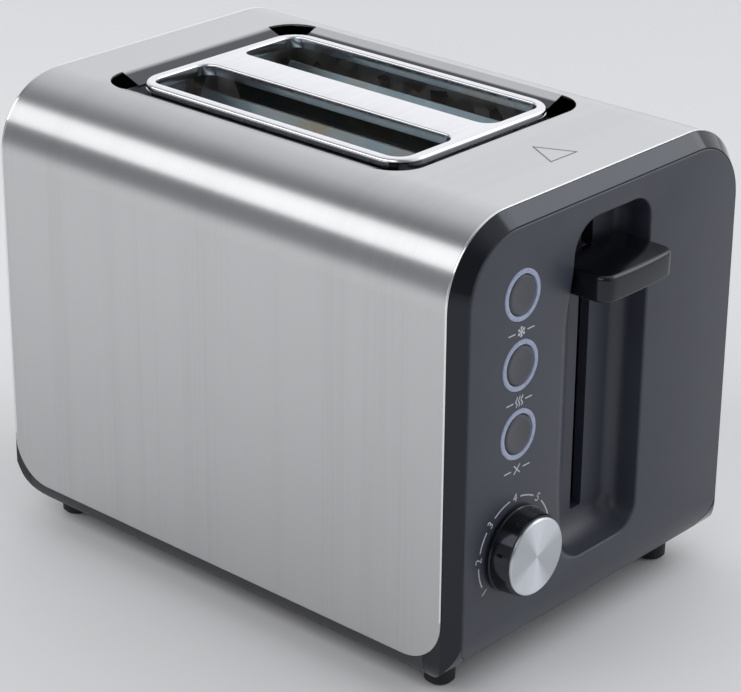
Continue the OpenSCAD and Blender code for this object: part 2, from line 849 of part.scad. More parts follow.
module tact_switch(z) {
    color([0.12, 0.12, 0.13]) {
        translate([board_x + board_t, control_y - 3, z - 3]) cube([3.5, 6, 6]);
        translate([board_x + board_t + 3.5, control_y, z]) rotate([0, 90, 0]) cylinder(h = 1.5, d = 3.4);
    }
}

module switch_defrost() { tact_switch(button_z[0]); }

module switch_reheat() { tact_switch(button_z[1]); }

module switch_cancel() { tact_switch(button_z[2]); }

module push_button(z) {
    stem_x = board_x + board_t + 5 + button_travel + gap;
    flange_x = face_x - panel_t - 1.8;
    head_x = face_x + 0.5;
    color([0.2, 0.21, 0.24])
        translate([0, control_y, z])
            rotate([0, 90, 0]) {
                translate([0, 0, stem_x]) cylinder(h = flange_x - stem_x + 1, d = 5);
                translate([0, 0, flange_x]) cylinder(h = 1.4, d = button_d + 1.6);
                translate([0, 0, flange_x + 1]) cylinder(h = head_x - flange_x - 1.6, d = button_d);
                translate([0, 0, head_x - 0.6]) cylinder(h = 0.6, d1 = button_d, d2 = button_d - 1.2);
            }
}

module button_defrost() { push_button(button_z[0]); }

module button_reheat() { push_button(button_z[1]); }

module button_cancel() { push_button(button_z[2]); }

module light_ring(z) {
    proud = 0.4;
    color([0.62, 0.68, 0.86])
        translate([0, control_y, z])
            rotate([0, 90, 0])
                difference() {
                    translate([0, 0, face_x - panel_t]) cylinder(h = panel_t + proud, d = ring_d);
                    translate([0, 0, face_x - panel_t - 1]) cylinder(h = panel_t + proud + 2, d = button_d + 2 * gap);
                }
}

module ring_defrost() { light_ring(button_z[0]); }

module ring_reheat() { light_ring(button_z[1]); }

module ring_cancel() { light_ring(button_z[2]); }

module dial_pot() {
    color([0.15, 0.2, 0.35])
        translate([board_x + board_t, control_y, dial_up])
            difference() {
                union() {
                    translate([0, -8, -8]) cube([6, 16, 16]);
                    rotate([0, 90, 0]) cylinder(h = 11, d = shaft_d + 4);
                }
                translate([2, 0, 0]) rotate([0, 90, 0]) cylinder(h = 20, d = shaft_d + 2 * run_gap);
            }
}

module dial_shaft() {
    x0 = board_x + board_t + 2 + gap;
    color([0.75, 0.76, 0.78])
        translate([x0, control_y, dial_up])
            rotate([0, 90, 0]) cylinder(h = face_x + dial_out - 3.5 - x0, d = shaft_d);
}

module dial_skirt() {
    back = face_x + 0.5;
    front = face_x + dial_out - 1;
    top_d = dial_d - 2.4;
    pointer_a = 163;
    color([0.03, 0.03, 0.035])
        translate([0, control_y, dial_up])
            difference() {
                union() {
                    translate([back, 0, 0]) rotate([0, 90, 0]) cylinder(h = 1.5, d = dial_d);
                    translate([back + 1.5, 0, 0])
                        rotate([0, 90, 0]) cylinder(h = front - back - 1.5, d1 = dial_d - 0.6, d2 = top_d);
                    rotate([pointer_a, 0, 0])
                        translate([front - 5, top_d / 2 - 1, -0.6]) cube([4.6, 1.9, 1.2]);
                }
                rotate([0, 90, 0]) cylinder(h = front - 2.5, d = shaft_d);
                translate([front - 0.6, 0, 0]) rotate([0, 90, 0]) cylinder(h = 2, d = top_d - 1.6);
            }
}

module dial_cap() {
    front = face_x + dial_out;
    cap_r = dial_d / 2 - 2;
    color([0.8, 0.81, 0.83])
        translate([front - 1.6, control_y, dial_up])
            rotate([0, 90, 0]) {
                cylinder(h = 1.2, r = cap_r);
                translate([0, 0, 1.2]) cylinder(h = 0.4, r1 = cap_r, r2 = cap_r - 0.4);
            }
}

// ---- mains side ----

module contact_block() {
    color([0.75, 0.72, 0.65])
        translate([contact_x, contact_y, floor_z]) {
            cube([14, 16, 16]);
            translate([4, 3, 16]) cube([6, 10, 2]);
        }
}

module contact_leaves() {
    leaf_t = 0.5;
    leaf_l = 16;
    color([0.8, 0.62, 0.3])
        for (k = [0, 1])
            translate([contact_x + 2, contact_y + 2 + k * 8, floor_z + 18]) {
                cube([leaf_l, 4, leaf_t]);
                translate([2, 0, leaf_t]) cube([3, 4, 1.2]);
            }
}

module terminal_block() {
    block = [8, 20, 14];
    x = cage_x0 - sheet_t / 2 - block.x;
    y = tray_y + 3;
    z = floor_z + boss_h + 4;
    color([0.85, 0.85, 0.82])
        difference() {
            translate([x, y, z]) cube(block);
            for (k = [block.y / 4, block.y * 3 / 4])
                translate([x + block.x / 2, y + k, z + 8]) cylinder(h = 10, d = 4);
        }
}

module cord_bush() {
    outer = cord_d + 5;
    color([0.04, 0.04, 0.045])
        translate([-rear_x, bush_y, bush_z])
            rotate([0, 90, 0])
                difference() {
                    union() {
                        translate([0, 0, -1.6]) cylinder(h = 1.6, d = outer + 5);
                        cylinder(h = wall, d = outer);
                        translate([0, 0, wall]) cylinder(h = 1.6, d = outer + 3);
                    }
                    translate([0, 0, -5]) cylinder(h = wall + 12, d = cord_d);
                }
}

module crumb_tray() {
    x1 = cage_x1 - 3;
    t = 0.8;
    color([0.7, 0.71, 0.73])
        difference() {
            translate([tray_x0, -tray_y, tray_z]) cube([x1 - tray_x0, 2 * tray_y, tray_h]);
            translate([tray_x0 + t, t - tray_y, tray_z + t]) cube([x1 - tray_x0 - 2 * t, 2 * (tray_y - t), tray_h]);
        }
}

module tray_handle() {
    outer_x = -rear_x - handle_out;
    lip_t = handle_out - gap;
    lip_over = 6;
    grip_w = 44;
    color([0.05, 0.05, 0.06])
        difference() {
            union() {
                translate([outer_x, -tray_y, tray_z]) cube([tray_x0 - outer_x, 2 * tray_y, tray_h]);
                translate([outer_x, -tray_y, tray_z]) cube([lip_t, 2 * tray_y, tray_h + lip_over]);
            }
            translate([outer_x - 1, -grip_w / 2, tray_z - 1]) cube([rear_x + tray_x0 + handle_out - 1, grip_w, 4]);
        }
}

module screw(l, d, head_d, head_h) {
    difference() {
        cylinder(h = head_h, d = head_d);
        for (a = [0, 90]) rotate([0, 0, a]) translate([-1.8, -0.4, -1]) cube([3.6, 0.8, 1.9]);
    }
    translate([0, 0, head_h]) cylinder(h = l, d = d);
}

module base_screws() {
    color([0.6, 0.61, 0.63]) base_screw_places() translate([0, 0, 0.3]) screw(9, 3, 6, 1.5);
}

module board_screws() {
    color([0.6, 0.61, 0.63])
        for (y = [board_y0 + 5, board_y1 - 5], z = [board_z0 + 5, board_z1 - 5])
            translate([board_x - 1.6, y, z]) rotate([0, 90, 0]) screw(8, 2.6, 5, 1.6);
}

module rear_screws() {
    color([0.6, 0.61, 0.63])
        rear_screw_places() rotate([0, 90, 0]) translate([0, 0, -1.2]) screw(rear_post_l + 4, 3, 5.6, 1.2);
}

module in_frame() { translate([frame_dx, 0, 0]) children(); }

in_frame() outer_shell();
in_frame() slot_frame();
in_frame() front_rim();
in_frame() front_panel();
in_frame() rear_cap();
in_frame() base();
in_frame() foot(foot_x, -foot_y);  // foot_front_left
in_frame() foot(foot_x, foot_y);  // foot_front_right
in_frame() foot(-foot_x, -foot_y);  // foot_rear_left
in_frame() foot(-foot_x, foot_y);  // foot_rear_right
in_frame() chassis_front();
in_frame() chassis_rear();
in_frame() reflector_left();
in_frame() reflector_right();
in_frame() mica_left();
in_frame() mica_centre();
in_frame() mica_right();
in_frame() winding_left();
in_frame() winding_centre();
in_frame() winding_right();
in_frame() guard_left_outer();
in_frame() guard_left_inner();
in_frame() guard_right_inner();
in_frame() guard_right_outer();
in_frame() guide_rod();
in_frame() carriage();
in_frame() lever_arm();
in_frame() lever_knob();
in_frame() lifter_left();
in_frame() lifter_right();
in_frame() armature();
in_frame() lift_spring();
in_frame() magnet_bracket();
in_frame() magnet_core();
in_frame() magnet_coil();
in_frame() control_board();
in_frame() switch_defrost();
in_frame() switch_reheat();
in_frame() switch_cancel();
in_frame() dial_pot();
in_frame() dial_shaft();
in_frame() dial_skirt();
in_frame() dial_cap();
in_frame() button_defrost();
in_frame() button_reheat();
in_frame() button_cancel();
in_frame() ring_defrost();
in_frame() ring_reheat();
in_frame() ring_cancel();
in_frame() contact_block();
in_frame() contact_leaves();
in_frame() terminal_block();
in_frame() cord_bush();
in_frame() crumb_tray();
in_frame() tray_handle();
in_frame() base_screws();
in_frame() board_screws();
in_frame() rear_screws();
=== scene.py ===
import math

import bmesh
import bpy
from mathutils import Matrix, Vector


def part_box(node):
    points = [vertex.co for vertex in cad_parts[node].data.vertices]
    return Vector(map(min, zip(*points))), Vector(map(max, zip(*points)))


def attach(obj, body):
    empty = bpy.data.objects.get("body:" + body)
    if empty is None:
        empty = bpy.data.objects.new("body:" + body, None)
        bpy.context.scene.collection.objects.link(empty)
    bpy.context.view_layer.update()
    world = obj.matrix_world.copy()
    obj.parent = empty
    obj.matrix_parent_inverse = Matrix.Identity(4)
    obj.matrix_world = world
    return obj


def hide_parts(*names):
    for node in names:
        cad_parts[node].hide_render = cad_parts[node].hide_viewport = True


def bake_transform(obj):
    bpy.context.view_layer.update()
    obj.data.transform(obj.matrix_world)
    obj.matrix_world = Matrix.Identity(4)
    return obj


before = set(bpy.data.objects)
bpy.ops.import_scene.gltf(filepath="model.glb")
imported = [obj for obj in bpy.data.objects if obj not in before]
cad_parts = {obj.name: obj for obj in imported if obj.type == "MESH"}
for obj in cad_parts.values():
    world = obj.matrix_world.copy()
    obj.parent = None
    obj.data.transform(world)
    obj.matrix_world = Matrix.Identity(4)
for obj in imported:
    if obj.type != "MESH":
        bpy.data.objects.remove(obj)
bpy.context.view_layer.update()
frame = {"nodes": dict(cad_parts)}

bl_info = {
    "name": "Pop-up toaster",
    "version": (1, 0, 0),
    "blender": (4, 5, 0),
    "location": "3D View > Sidebar > Toaster",
    "description": "Finishes and moulded pieces of a two-slot toaster, built round its packed frame",
    "category": "Object",
}

MM = 0.001


def corners(node):
    """Lowest and highest corner of a frame node, in millimetres."""
    low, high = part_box(node)
    return low / MM, high / MM


SHELL_LOW, SHELL_HIGH = corners("outer_shell")
FACE_X = corners("front_panel")[1].x
# half width, in millimetres, of the painted shade in the well round the slots
WELL_HALF = 50.0
TOP_R = 30.0
SWEEP_R = 22.0
CAP_DEPTH = FACE_X - SHELL_HIGH.x
FOOT_H = corners("base")[0].z
SWEEP_Z = FOOT_H + SWEEP_R
BUTTONS = ("defrost", "reheat", "cancel")


def centre(node):
    low, high = corners(node)
    return (low + high) / 2


# ---- sizes and colours ----


def color_prop(name, description, value):
    return bpy.props.FloatVectorProperty(
        name=name, description=description, subtype="COLOR", size=4, default=(*value, 1.0))


def length_prop(name, description, value):
    return bpy.props.FloatProperty(
        name=name, description=description, subtype="DISTANCE", unit="LENGTH", default=value)


def angle_prop(name, description, degrees):
    return bpy.props.FloatProperty(
        name=name, description=description, subtype="ANGLE", unit="ROTATION",
        default=math.radians(degrees))


class ShellLook(bpy.types.PropertyGroup):
    steel: color_prop("Steel", "Colour of the brushed steel", (0.575, 0.577, 0.58))
    grain: length_prop("Grain", "Width of one brush line", 0.0006)
    frame: color_prop("Frame", "Colour of the polished slot frame", (0.83, 0.83, 0.85))
    frame_round: length_prop("Frame rounding", "Radius of the rolled edge of the slot frame", 0.0014)


class PanelLook(bpy.types.PropertyGroup):
    slate: color_prop("Slate", "Colour of the control panel", (0.041, 0.045, 0.064))
    black: color_prop("Black", "Colour of the gloss black mouldings", (0.0045, 0.0048, 0.0060))
    edge: length_prop("Panel edge", "Rounding where the panel meets the rim", 0.0007)
    channel_fillet: length_prop("Channel fillet", "Radius at the foot of the channel wall", 0.006)
    ramp: length_prop("Channel ramp", "Width of the soft ramp beside the lever slot", 0.0215)


class ControlLook(bpy.types.PropertyGroup):
    ring: color_prop("Ring", "Colour of the light rings", (0.33, 0.37, 0.50))
    knob_bow: length_prop("Knob bow", "How far the front of the lever knob bows out", 0.0008)
    line: length_prop("Print line", "Width of a printed line", 0.00055)
    digit: length_prop("Digit height", "Height of the numbers round the dial", 0.0034)


class StageLook(bpy.types.PropertyGroup):
    floor: color_prop("Floor", "Colour of the floor", (0.90, 0.90, 0.90))
    azimuth: angle_prop("Azimuth", "Turn of the camera round the object", 41.848)
    elevation: angle_prop("Elevation", "Height angle of the camera", 24.031)
    roll: angle_prop("Roll", "Roll of the camera", 0.470)
    distance: length_prop("Distance", "Distance from the camera to its target", 1.01256)
    lens: bpy.props.FloatProperty(
        name="Lens", description="Focal length for a 36 mm wide sensor, in millimetres",
        default=125.98)


# ---- finishes ----


def set_stops(ramp, stops):
    """Gives a colour ramp node its (position, colour) stops."""
    band = ramp.color_ramp
    while len(band.elements) < len(stops):
        band.elements.new(0.5)
    for element, (position, color) in zip(band.elements, stops):
        element.position = position
        element.color = (*color[:3], 1.0)


class Finish:
    """A node tree that ends in one Principled shader."""

    def __init__(self, name, color, roughness, metallic=0.0, **constants):
        self.material = bpy.data.materials.new(name)
        self.material.use_nodes = True
        self.tree = self.material.node_tree
        self.shader = self.tree.nodes["Principled BSDF"]
        self.set("Base Color", (*color[:3], 1.0))
        self.set("Roughness", roughness)
        self.set("Metallic", metallic)
        for socket, value in constants.items():
            self.set(socket.replace("_", " "), value)
        self.material.diffuse_color = (*color[:3], 1.0)

    def set(self, socket, value):
        self.shader.inputs[socket].default_value = value

    def add(self, kind, inputs=None, **settings):
        """Adds a node; an input may be a constant or another node's output socket."""
        made = self.tree.nodes.new(kind)
        for key, value in settings.items():
            setattr(made, key, value)
        for key, value in (inputs or {}).items():
            if isinstance(value, bpy.types.NodeSocket):
                self.tree.links.new(value, made.inputs[key])
            else:
                made.inputs[key].default_value = value
        return made

    def link(self, output, socket):
        self.tree.links.new(output, self.shader.inputs[socket])

    def place(self, scale=(1.0, 1.0, 1.0), turn=(0.0, 0.0, 0.0), shift=(0.0, 0.0, 0.0)):
        """Object coordinates, moved, turned and scaled."""
        where = self.add("ShaderNodeTexCoord").outputs["Object"]
        return self.add("ShaderNodeMapping", {
            "Vector": where, "Scale": scale, "Rotation": turn, "Location": shift}).outputs["Vector"]

    def noise(self, vector, scale, detail=2.0, rough=0.5):
        return self.add("ShaderNodeTexNoise", {
            "Vector": vector, "Scale": scale, "Detail": detail, "Roughness": rough}).outputs["Fac"]

    def calc(self, operation, *values):
        return self.add("ShaderNodeMath", dict(enumerate(values)), operation=operation).outputs[0]

    def mix(self, share, first, second):
        """The colour between first and second; 6 and 7 are the node's two colour sockets."""
        return self.add("ShaderNodeMix", {0: share, 6: first, 7: second}, data_type="RGBA").outputs[2]

    def spread(self, value, low, high, from_low=0.3, from_high=0.7):
        return self.add("ShaderNodeMapRange", {
            "Value": value, "From Min": from_low, "From Max": from_high,
            "To Min": low, "To Max": high}).outputs["Result"]

    def ramp(self, value, *stops):
        made = self.add("ShaderNodeValToRGB", {"Fac": value})
        set_stops(made, stops)
        return made.outputs["Color"]

    def tone(self, value, color, amount, from_low=0.3, from_high=0.7):
        """The colour, darker to lighter by amount as value rises from from_low to from_high."""
        low = [c * (1 - amount) for c in color[:3]]
        high = [min(1.0, c * (1 + amount)) for c in color[:3]]
        return self.ramp(value, (from_low, low), (from_high, high))

    def tint(self, value, color, amount, from_low=0.3, from_high=0.7):
        self.link(self.tone(value, color, amount, from_low, from_high), "Base Color")

    def bump(self, height, distance, strength):
        """Relief on the surface: distance in metres, strength from 0 to 1."""
        made = self.add("ShaderNodeBump", {"Height": height, "Distance": distance, "Strength": strength})
        self.link(made.outputs["Normal"], "Normal")

    def rough(self, value, low, high, from_low=0.3, from_high=0.7):
        self.link(self.spread(value, low, high, from_low, from_high), "Roughness")


def steel_finish(look):
    """Brushed sheet: brush lines run round the body, so they vary along its length only."""
    made = Finish("brushed_steel", look.steel, 0.30, 1.0, Anisotropic=0.82, Anisotropic_Rotation=0.25)
    tangent = made.add("ShaderNodeTangent", direction_type="RADIAL", axis="X")
    made.link(tangent.outputs["Tangent"], "Tangent")
    lines = made.noise(made.place((1 / look.grain, 5.0, 5.0)), 1.0, 3.0, 0.65)
    broad = made.noise(made.place((90.0, 2.0, 2.0)), 1.0, 2.0)
    brushed = made.tone(made.calc("ADD", lines, broad), look.steel, 0.022, 0.8, 1.2)
    # painted shade: the drawn well round the slots is darkened in its colour, standing in for its own
    # shadow
    spot = made.add("ShaderNodeSeparateXYZ", {"Vector": made.place()})
    across = made.calc("ABSOLUTE", spot.outputs["Y"])
    inside = made.spread(across, 1.0, 0.0, WELL_HALF * MM, (WELL_HALF + 1.0) * MM)
    sunk = made.spread(spot.outputs["Z"], 1.0, 0.0, (SHELL_HIGH.z - 0.9) * MM, (SHELL_HIGH.z - 0.05) * MM)
    painted_well_shade = made.calc("MULTIPLY", inside, sunk)
    made.link(made.mix(painted_well_shade, brushed, (0.085, 0.085, 0.095, 1.0)), "Base Color")
    made.rough(lines, 0.285, 0.335)
    made.bump(lines, 0.00001, 0.12)
    return made.material


def frame_finish(look):
    made = Finish("polished_frame", look.frame, 0.13, 1.0)
    haze = made.noise(made.place((400.0, 40.0, 400.0)), 1.0, 3.0)
    made.tint(haze, look.frame, 0.03)
    made.rough(haze, 0.10, 0.19)
    made.bump(haze, 0.00001, 0.2)
    return made.material


def black_finish(look):
    """Gloss black moulding with a faint waviness, and a little dust in its gloss."""
    made = Finish("black_plastic", look.black, 0.12, 0.0, Specular_IOR_Level=0.5,
                  Specular_Tint=(0.80, 0.86, 1.0, 1.0))
    wave = made.noise(made.place(), 130.0, 2.0)
    dust = made.noise(made.place(), 2600.0, 3.0)
    made.tint(wave, look.black, 0.15)
    made.rough(dust, 0.09, 0.16)
    made.bump(wave, 0.00002, 0.15)
    return made.material


def slate_finish(look):
    """Satin slate moulding with a fine spark-eroded texture."""
    made = Finish("slate_plastic", look.slate, 0.42, 0.0, Specular_IOR_Level=0.55)
    fine = made.noise(made.place(), 3600.0, 3.0, 0.6)
    broad = made.noise(made.place(), 60.0, 2.0)
    made.tint(broad, look.slate, 0.05)
    made.rough(fine, 0.36, 0.47)
    made.bump(fine, 0.00002, 0.4)
    return made.material


def plastic_finish(name, color, roughness, texture=0.4):
    made = Finish(name, color, roughness, 0.0, Specular_IOR_Level=0.5)
    fine = made.noise(made.place(), 2600.0, 3.0, 0.6)
    broad = made.noise(made.place(), 90.0, 2.0)
    made.tint(broad, color, 0.08)
    made.rough(fine, roughness * 0.88, roughness * 1.12)
    made.bump(fine, 0.00002, texture)
    return made.material


def rubber_finish():
    color = (0.016, 0.016, 0.018)
    made = Finish("foot_rubber", color, 0.62, 0.0, Specular_IOR_Level=0.4)
    fine = made.noise(made.place(), 1500.0, 4.0, 0.7)
    scuff = made.noise(made.place((60.0, 60.0, 400.0)), 1.0, 3.0)
    made.tint(scuff, color, 0.35)
    made.rough(fine, 0.55, 0.72)
    made.bump(fine, 0.00005, 0.5)
    return made.material


def zinc_finish():
    """Aluminised sheet: crystal spangle, with heat stain in soft patches."""
    color = (0.42, 0.43, 0.44)
    made = Finish("zinc_sheet", color, 0.34, 0.92)
    cells = made.add("ShaderNodeTexVoronoi", {"Vector": made.place(), "Scale": 170.0})
    spangle = made.add("ShaderNodeSeparateColor", {"Color": cells.outputs["Color"]}).outputs[0]
    stain = made.noise(made.place(), 26.0, 4.0, 0.6)
    tone = made.ramp(stain, (0.35, (0.50, 0.51, 0.53)), (0.62, (0.36, 0.33, 0.29)))
    crystals = made.ramp(spangle, (0.0, (0.34, 0.35, 0.37)), (1.0, (0.56, 0.57, 0.58)))
    made.link(made.mix(0.45, tone, crystals), "Base Color")
    made.rough(spangle, 0.24, 0.46, 0.0, 1.0)
    made.bump(made.noise(made.place(), 800.0, 2.0), 0.00003, 0.3)
    return made.material


def guard_finish():
    """Plated guard wire and strip, blued and browned by heat."""
    made = Finish("guard_steel", (0.22, 0.27, 0.30), 0.36, 0.85)
    heat = made.noise(made.place(), 34.0, 4.0, 0.6)
    made.link(made.ramp(heat, (0.36, (0.20, 0.265, 0.30)), (0.55, (0.27, 0.33, 0.36)),
                        (0.70, (0.30, 0.26, 0.20))), "Base Color")
    made.rough(made.noise(made.place(), 900.0, 3.0), 0.28, 0.46)
    return made.material


def mica_finish():
    color = (0.27, 0.20, 0.13)
    made = Finish("mica_board", color, 0.42, 0.0, Specular_IOR_Level=0.6, Sheen_Weight=0.1)
    flakes = made.add("ShaderNodeTexVoronoi", {"Vector": made.place((1.0, 1.0, 1.6)), "Scale": 240.0},
                      feature="F1")
    shade = made.add("ShaderNodeSeparateColor", {"Color": flakes.outputs["Color"]}).outputs[0]
    made.link(made.ramp(shade, (0.0, (0.20, 0.145, 0.09)), (0.6, (0.31, 0.235, 0.16)),
                        (1.0, (0.50, 0.43, 0.33))), "Base Color")
    made.rough(shade, 0.28, 0.55, 0.0, 1.0)
    made.bump(flakes.outputs["Distance"], 0.00004, 0.4)
    return made.material


def metal_finish(name, color, roughness):
    """Drawn or turned metal with faint streaks along Z."""
    made = Finish(name, color, roughness, 1.0)
    lines = made.noise(made.place((300.0, 300.0, 40.0)), 1.0, 4.0, 0.6)
    broad = made.noise(made.place(), 60.0, 3.0)
    made.tint(broad, color, 0.12)
    made.rough(lines, roughness * 0.8, roughness * 1.3)
    made.bump(lines, 0.00002, 0.3)
    return made.material


def coil_finish():
    """Enamelled copper wire, wound in level turns."""
    color = (0.48, 0.17, 0.06)
    made = Finish("coil_wire", color, 0.26, 0.75, Coat_Weight=0.4, Coat_Roughness=0.1)
    turns = made.add("ShaderNodeTexWave", {
        "Vector": made.place(), "Scale": 650.0, "Distortion": 1.2, "Detail": 1.0},
        wave_type="BANDS", bands_direction="Z", wave_profile="SIN").outputs["Fac"]
    made.tint(turns, color, 0.3, 0.1, 0.9)
    made.bump(turns, 0.00012, 0.8)
    return made.material


def board_finish():
    """Laminate under a green solder mask, with copper tracks showing through."""
    made = Finish("board_laminate", (0.03, 0.13, 0.055), 0.36, 0.0, Specular_IOR_Level=0.55)
    tracks = made.add("ShaderNodeTexBrick", {
        "Vector": made.place((1.0, 1.0, 1.0), (0.0, math.pi / 2, 0.0)), "Scale": 95.0,
        "Color1": (0.028, 0.12, 0.05, 1.0), "Color2": (0.036, 0.15, 0.062, 1.0),
        "Mortar": (0.09, 0.25, 0.10, 1.0), "Mortar Size": 0.035, "Mortar Smooth": 0.2})
    made.link(tracks.outputs["Color"], "Base Color")
    made.rough(made.noise(made.place(), 900.0, 2.0), 0.30, 0.44)
    made.bump(tracks.outputs["Fac"], 0.00004, 0.5)
    return made.material


def spun_finish(node):
    """Turned aluminium disc: fine rings round the middle, with the bow-tie glint that they give and a
    painted bow-tie glint in its colour.
    """
    middle = centre(node) * MM
    color = (0.66, 0.69, 0.73)
    made = Finish("dial_metal", color, 0.34, 1.0, Anisotropic=0.9, Anisotropic_Rotation=0.25)
    moved = made.place(shift=(-middle.x, -middle.y, -middle.z))
    rings = made.add("ShaderNodeTexWave", {"Vector": moved, "Scale": 900.0, "Distortion": 0.6,
                                           "Detail": 2.0, "Detail Scale": 3.0},
                     wave_type="RINGS", rings_direction="X", wave_profile="SIN").outputs["Fac"]
    made.rough(rings, 0.30, 0.38, 0.0, 1.0)
    split = made.add("ShaderNodeSeparateXYZ", {"Vector": moved})
    minus = made.calc("MULTIPLY", split.outputs["Z"], -1.0)
    around = made.add("ShaderNodeCombineXYZ", {"Y": minus, "Z": split.outputs["Y"]})
    straight = made.add("ShaderNodeVectorMath", {0: around.outputs["Vector"]}, operation="NORMALIZE")
    made.link(straight.outputs["Vector"], "Tangent")
    # painted glint: the colour goes lighter and darker in a bow-tie round the middle
    turn = made.calc("ARCTAN2", split.outputs["Y"], split.outputs["Z"])
    bow = made.calc("SINE", made.calc("MULTIPLY_ADD", turn, 2.0, 0.9))
    made.tint(made.spread(bow, 0.0, 1.0, -1.0, 1.0), color, 0.14)
    made.bump(rings, 0.00001, 0.3)
    return made.material


def ring_finish(look):
    """Milky light guide with a faint painted glow, as if lit from behind."""
    # painted glow: a faint emission in a bluish colour, with no lamp behind the ring
    made = Finish("ring_plastic", look.ring, 0.30, 0.0, Specular_IOR_Level=0.5,
                  Subsurface_Weight=0.3, Subsurface_Scale=0.002, Emission_Strength=0.03)
    made.set("Subsurface Radius", (1.0, 1.0, 1.0))
    made.set("Emission Color", (0.50, 0.60, 1.0, 1.0))
    cloud = made.noise(made.place(), 420.0, 3.0)
    made.tint(cloud, look.ring, 0.10)
    made.rough(cloud, 0.24, 0.38)
    made.bump(cloud, 0.00002, 0.3)
    return made.material


def mark_finish(name, color, roughness, metallic):
    """Printed or etched line, a little uneven."""
    made = Finish(name, color, roughness, metallic, Specular_IOR_Level=0.5 if metallic else 0.3)
    made.tint(made.noise(made.place(), 2200.0, 3.0), color, 0.18)
    return made.material


FINISHES = {}

# colour and roughness, then how strong the texture is where it isn't the usual one
PLASTICS = {
    "grey_plastic": ((0.030, 0.031, 0.036), 0.5),
    "button_plastic": ((0.062, 0.066, 0.078), 0.4, 0.3),
    "switch_plastic": ((0.016, 0.016, 0.018), 0.38),
    "pot_plastic": ((0.020, 0.030, 0.080), 0.4),
    "pale_plastic": ((0.62, 0.61, 0.56), 0.45),
}
METALS = {
    "winding_ribbon": ((0.40, 0.37, 0.33), 0.38),
    "machined_steel": ((0.60, 0.61, 0.63), 0.24),
    "carrier_steel": ((0.46, 0.48, 0.50), 0.34),
    "magnet_iron": ((0.26, 0.26, 0.27), 0.42),
    "contact_brass": ((0.70, 0.48, 0.18), 0.28),
}
# colour, roughness and how metallic
MARKS = {
    "pad_print": ((0.56, 0.58, 0.62), 0.55, 0.0),
    "etched_line": ((0.20, 0.20, 0.22), 0.5, 0.3),
}

NODE_FINISH = {
    "brushed_steel": ("outer_shell",),
    "black_plastic": ("front_rim", "rear_cap", "tray_handle", "cord_bush"),
    "grey_plastic": ("base",),
    "foot_rubber": ("foot_front_left", "foot_front_right", "foot_rear_left", "foot_rear_right"),
    "zinc_sheet": ("chassis_front", "chassis_rear", "reflector_left", "reflector_right", "crumb_tray",
                   "magnet_bracket"),
    "mica_board": ("mica_left", "mica_centre", "mica_right"),
    "winding_ribbon": ("winding_left", "winding_centre", "winding_right"),
    "guard_steel": ("guard_left_outer", "guard_left_inner", "guard_right_inner",
                    "guard_right_outer"),
    "machined_steel": ("guide_rod", "dial_shaft", "base_screws", "board_screws", "rear_screws"),
    "carrier_steel": ("carriage", "lever_arm", "lifter_left", "lifter_right"),
    "magnet_iron": ("armature", "magnet_core"),
    "coil_wire": ("magnet_coil",),
    "board_laminate": ("control_board",),
    "switch_plastic": ("switch_defrost", "switch_reheat", "switch_cancel"),
    "pot_plastic": ("dial_pot",),
    "pale_plastic": ("contact_block", "terminal_block"),
    "contact_brass": ("contact_leaves",),
}


class TOASTER_OT_finishes(bpy.types.Operator):
    """Make every finish and give the frame's own pieces theirs"""
    bl_idname = "toaster.finishes"
    bl_label = "Finishes"

    def execute(self, context):
        shell, panel = context.scene.shell_look, context.scene.panel_look
        FINISHES.update({
            "brushed_steel": steel_finish(shell),
            "polished_frame": frame_finish(shell),
            "black_plastic": black_finish(panel),
            "slate_plastic": slate_finish(panel),
            "ring_plastic": ring_finish(context.scene.control_look),
            "foot_rubber": rubber_finish(),
            "zinc_sheet": zinc_finish(),
            "guard_steel": guard_finish(),
            "mica_board": mica_finish(),
            "coil_wire": coil_finish(),
            "board_laminate": board_finish(),
            "dial_metal": spun_finish("dial_cap"),
        })
        for make, looks in ((plastic_finish, PLASTICS), (metal_finish, METALS), (mark_finish, MARKS)):
            for name, values in looks.items():
                FINISHES[name] = make(name, *values)
        for finish, nodes in NODE_FINISH.items():
            for name in nodes:
                mesh = frame["nodes"][name].data
                mesh.materials.clear()
                mesh.materials.append(FINISHES[finish])
        return {"FINISHED"}


# ---- shaping helpers, all in millimetres ----


def arc(middle, radius, start, end, steps):
    """Points of an arc in a piece's plane, with the outward normal of each."""
    found = []
    for k in range(steps + 1):
        angle = math.radians(start + (end - start) * k / steps)
        a, b = math.cos(angle), math.sin(angle)
        found.append((middle[0] + radius * a, middle[1] + radius * b, a, b))
    return found


def rounded_box(low, high, radii, steps):
    """Rounded rectangle; radii go lower right, upper right, upper left, lower left."""
    found = []
    places = ((high[0], low[1], -1, 1), (high[0], high[1], -1, -1),
              (low[0], high[1], 1, -1), (low[0], low[1], 1, 1))
    for k, ((a, b, turn_a, turn_b), radius) in enumerate(zip(places, radii)):
        middle = (a + turn_a * radius, b + turn_b * radius)
        found += arc(middle, radius, 90 * k - 90, 90 * k, steps)
    return found


def spaced(stations, longest):
    """The same closed run of stations with none further apart than longest."""
    found = []
    for here, there in zip(stations, stations[1:] + stations[:1]):
        length = math.hypot(there[0] - here[0], there[1] - here[1])
        if length < 1e-6:
            continue
        count = max(1, math.ceil(length / longest))
        for k in range(count):
            mixed = [p + (q - p) * k / count for p, q in zip(here, there)]
            norm = math.hypot(mixed[2], mixed[3]) or 1.0
            found.append((mixed[0], mixed[1], mixed[2] / norm, mixed[3] / norm))
    return found


def on_panel(y, z, x):
    return Vector((x, y, z))


def on_top(x, y, z):
    return Vector((x, y, z))


